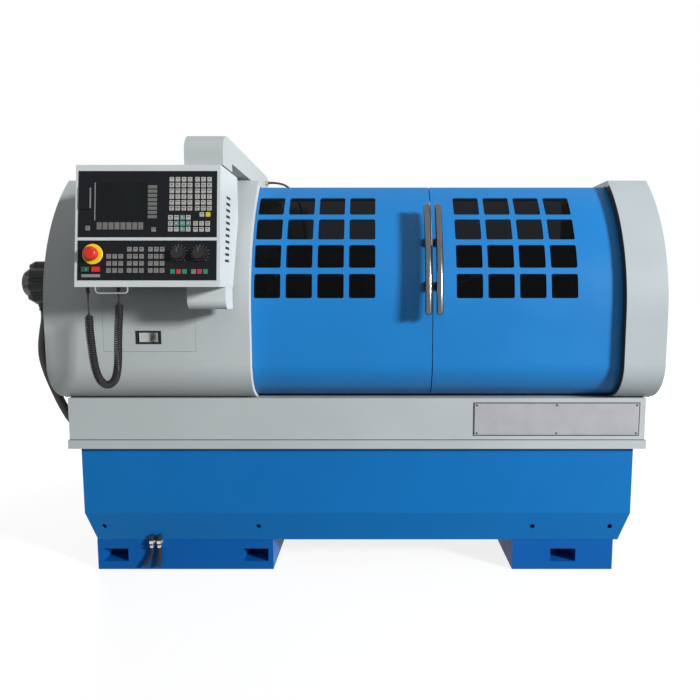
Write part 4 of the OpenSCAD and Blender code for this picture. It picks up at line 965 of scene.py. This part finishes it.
def catmull(p0, p1, p2, p3, t):
    """Point on a Catmull-Rom piece."""
    return 0.5 * (2 * p1 + (p2 - p0) * t + (2 * p0 - 5 * p1 + 4 * p2 - p3) * t * t
                  + (3 * p1 - p0 - 3 * p2 + p3) * t ** 3)


def route(points):
    """Route points, given in millimetres from the left end of the enclosure's front."""
    return [LEFT_END + Vector(p) * MM for p in points]


def free_cord(name, points, diameter, look, body, node):
    """A smooth free cord that stands for its node."""
    piece = spline_curve(name, points, diameter, look)
    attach(piece, body)
    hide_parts(node)
    return piece


HOSE_ROUTE = route([
    (-180, 340, 968), (-180, 340, 940), (-190, 340, 885), (-198, 340, 830), (-197, 340, 780),
    (-186, 340, 730), (-169, 340, 680), (-149, 340, 630), (-126, 340, 580), (-99, 340, 533),
    (-66, 340, 494), (-28, 340, 466), (15, 340, 454), (43, 340, 454),
])
HOSE_D = 0.033
free_cord("spindle_hose", HOSE_ROUTE, HOSE_D, "hose", "machine", "drain_hose")
TAIL_D = 0.0125
TAIL_A = route([(291, 120, 100), (291, 120, 80), (286, 118.5, 60), (276, 116.5, 40), (263, 115, 21)])
TAIL_B = route([(319, 120, 100), (319, 120, 80), (318, 119, 60), (316, 118, 40), (314, 117, 20)])
free_cord("tail_hose_a", TAIL_A, TAIL_D, "rubber", "machine", "drain_tail_a")
free_cord("tail_hose_b", TAIL_B, TAIL_D, "rubber", "machine", "drain_tail_b")
CABLE_ROUTE = route([
    (668, 600, 1505), (686, 600, 1505), (708, 607, 1504), (730, 620, 1500), (752, 636, 1487),
    (770, 655, 1466), (784, 675, 1438), (794, 693, 1404), (800, 707, 1366), (804, 720, 1328),
    (807, 733, 1292), (809, 747, 1264), (809, 747, 1238),
])
CABLE_D = 0.009
free_cord("lamp_cable", CABLE_ROUTE, CABLE_D, "rubber", "machine", "light_cable")

# Curly cord: a straight lead, a helix along the hanging loop, and a straight lead back up
LEAD_A = route([(226, -150, 1041), (226, -150, 1020), (226, -150, 998), (226, -150, 976)])
LEAD_B = route([(322, -150, 1012), (322, -150, 1027), (322, -150, 1041)])
COIL_ROUTE = route([
    (226, -150, 976), (226, -150, 930), (229, -150, 885), (233, -150, 838), (240, -150, 796),
    (252, -150, 766), (269, -150, 752), (286, -150, 755), (300, -150, 771), (308, -150, 801),
    (312, -150, 843), (314, -150, 890), (317, -150, 935), (321, -150, 978), (322, -150, 1012),
])
CURL_D = 0.005
CURL_R = 0.0105
CURL_PITCH = 0.0058
# Points per piece of the route and per turn of the helix, and points over which a turn grows to full size
ROUTE_STEPS = 40
TURN_STEPS = 14
GROW_STEPS = 20


def curly_points():
    """Points of the whole curly cord, from gland to gland."""
    fine = []
    for i in range(len(COIL_ROUTE) - 1):
        before = COIL_ROUTE[max(i - 1, 0)]
        after = COIL_ROUTE[min(i + 2, len(COIL_ROUTE) - 1)]
        parts = [k / ROUTE_STEPS for k in range(ROUTE_STEPS)]
        fine += [catmull(before, COIL_ROUTE[i], COIL_ROUTE[i + 1], after, part) for part in parts]
    fine.append(COIL_ROUTE[-1])
    walked = [0.0]
    for a, b in zip(fine, fine[1:]):
        walked.append(walked[-1] + (b - a).length)
    turns = round(walked[-1] / CURL_PITCH)
    steps = turns * TURN_STEPS
    points = list(LEAD_A)
    spot = 0
    for k in range(1, steps):
        target = walked[-1] * k / steps
        while walked[spot + 1] < target:
            spot += 1
        part = (target - walked[spot]) / (walked[spot + 1] - walked[spot])
        centre = fine[spot].lerp(fine[spot + 1], part)
        along = (fine[spot + 1] - fine[spot]).normalized()
        side = Vector((0, 1, 0))
        other = along.cross(side).normalized()
        angle = 2 * math.pi * turns * k / steps
        grow = min(1.0, k / GROW_STEPS, (steps - k) / GROW_STEPS)
        points.append(centre + CURL_R * grow * (math.cos(angle) * side + math.sin(angle) * other))
    return points + list(LEAD_B)


CURLY = curly_points()
curly = spline_curve("curly_cord", CURLY, CURL_D, "rubber", smooth=False)
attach(curly, "panel")
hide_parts("pendant_lead", "pendant_coil")


# Stage
def seen_directly(tree):
    """Socket that is 1 for camera, mirror and glass rays, and 0 for the rest."""
    path = tree.nodes.new("ShaderNodeLightPath")
    first = tree.nodes.new("ShaderNodeMath")
    first.operation = "MAXIMUM"
    tree.links.new(path.outputs["Is Camera Ray"], first.inputs[0])
    tree.links.new(path.outputs["Is Glossy Ray"], first.inputs[1])
    both = tree.nodes.new("ShaderNodeMath")
    both.operation = "MAXIMUM"
    tree.links.new(first.outputs["Value"], both.inputs[0])
    tree.links.new(path.outputs["Is Transmission Ray"], both.inputs[1])
    return both.outputs["Value"]


def scaled(tree, socket, low, high):
    """Value between low and high, by a socket from 0 to 1."""
    span = tree.nodes.new("ShaderNodeMapRange")
    span.inputs["To Min"].default_value = low
    span.inputs["To Max"].default_value = high
    tree.links.new(socket, span.inputs["Value"])
    return span.outputs["Result"]


# Floor: half its width, its tone, and the distances over which its glow rises to white
FLOOR_HALF = 40.0
FLOOR_TONE = (0.2, 0.2, 0.2, 1)
GLOW_NEAR = 1.5
GLOW_FAR = 4.0
GLOW_LOW = 0.84
# Level at which the world lights the object
WORLD_LIGHT = 0.13


def build_stage():
    """Pale floor that keeps the shadow and fades into a white background."""
    bm = bmesh.new()
    bmesh.ops.create_grid(bm, x_segments=1, y_segments=1, size=FLOOR_HALF)
    floor = bpy.data.objects.new("floor", mesh_from("floor", bm, False))
    mat, tree, shader, coords = new_material("floor_white")
    shader.inputs["Base Color"].default_value = FLOOR_TONE
    shader.inputs["Roughness"].default_value = 0.95
    shader.inputs["Specular IOR Level"].default_value = 0.0
    shader.inputs["Emission Color"].default_value = (1, 1, 1, 1)
    reach = tree.nodes.new("ShaderNodeVectorMath")
    reach.operation = "LENGTH"
    tree.links.new(coords.outputs["Object"], reach.inputs[0])
    fade = tree.nodes.new("ShaderNodeMapRange")
    fade.inputs["From Min"].default_value = GLOW_NEAR
    fade.inputs["From Max"].default_value = GLOW_FAR
    fade.inputs["To Min"].default_value = GLOW_LOW
    fade.inputs["To Max"].default_value = 1.0
    tree.links.new(reach.outputs["Value"], fade.inputs["Value"])
    glow = tree.nodes.new("ShaderNodeMath")
    glow.operation = "MULTIPLY"
    tree.links.new(fade.outputs["Result"], glow.inputs[0])
    tree.links.new(seen_directly(tree), glow.inputs[1])
    tree.links.new(glow.outputs["Value"], shader.inputs["Emission Strength"])
    floor.data.materials.append(mat)
    bpy.context.scene.collection.objects.link(floor)


build_stage()


def add_area(name, place, target, size, power, mirrored):
    """Square area light aimed at a point; one that isn't mirrored leaves no square in glossy surfaces."""
    data = bpy.data.lights.new(name, "AREA")
    data.shape = "SQUARE"
    data.size = size
    data.energy = power
    lamp = bpy.data.objects.new(name, data)
    lamp.location = place
    lamp.rotation_euler = (Vector(target) - Vector(place)).to_track_quat("-Z", "Y").to_euler()
    lamp.visible_glossy = mirrored
    bpy.context.scene.collection.objects.link(lamp)


# Lamps: name, place, target, size, watts and whether glossy surfaces mirror them
LAMPS = [
    ("key", (8.6, -5.8, 3.7), (0.1, 0, 0.9), 1.5, 1720, True),
    ("top", (0.4, -1.6, 4.6), (0.1, 0, 0.8), 2.6, 12, False),
    ("front", (1.2, -5.6, 4.4), (0.1, 0, 0.9), 3.0, 36, False),
    ("back", (-3.2, 5.8, 3.4), (0.1, 0.2, 0.9), 3.0, 420, False),
]
for lamp in LAMPS:
    add_area(*lamp)


def build_world():
    """White for what the camera, mirrors and glass see, a plain soft level for light."""
    world = bpy.data.worlds.new("studio")
    bpy.context.scene.world = world
    world.use_nodes = True
    tree = world.node_tree
    back = tree.nodes["Background"]
    back.inputs["Color"].default_value = (1, 1, 1, 1)
    tree.links.new(scaled(tree, seen_directly(tree), WORLD_LIGHT, 1.0), back.inputs["Strength"])


build_world()

# Camera at the photograph's place: height, distance, a slight look down and its off-centre axis
CAMERA_AT = front_point(68, -2037, 1061)
CAMERA_DOWN = 6.0
CAMERA_LENS = 30.86
CAMERA_SHIFT = (-0.037, 0.0)
SENSOR_W = 36.0
camera = bpy.data.objects.new("camera", bpy.data.cameras.new("camera"))
camera.location = CAMERA_AT
camera.rotation_euler = (math.radians(90 - CAMERA_DOWN), 0, 0)
camera.data.lens = CAMERA_LENS
camera.data.sensor_width = SENSOR_W
camera.data.shift_x, camera.data.shift_y = CAMERA_SHIFT
bpy.context.scene.collection.objects.link(camera)
bpy.context.scene.camera = camera
bpy.context.scene.view_settings.view_transform = "Standard"
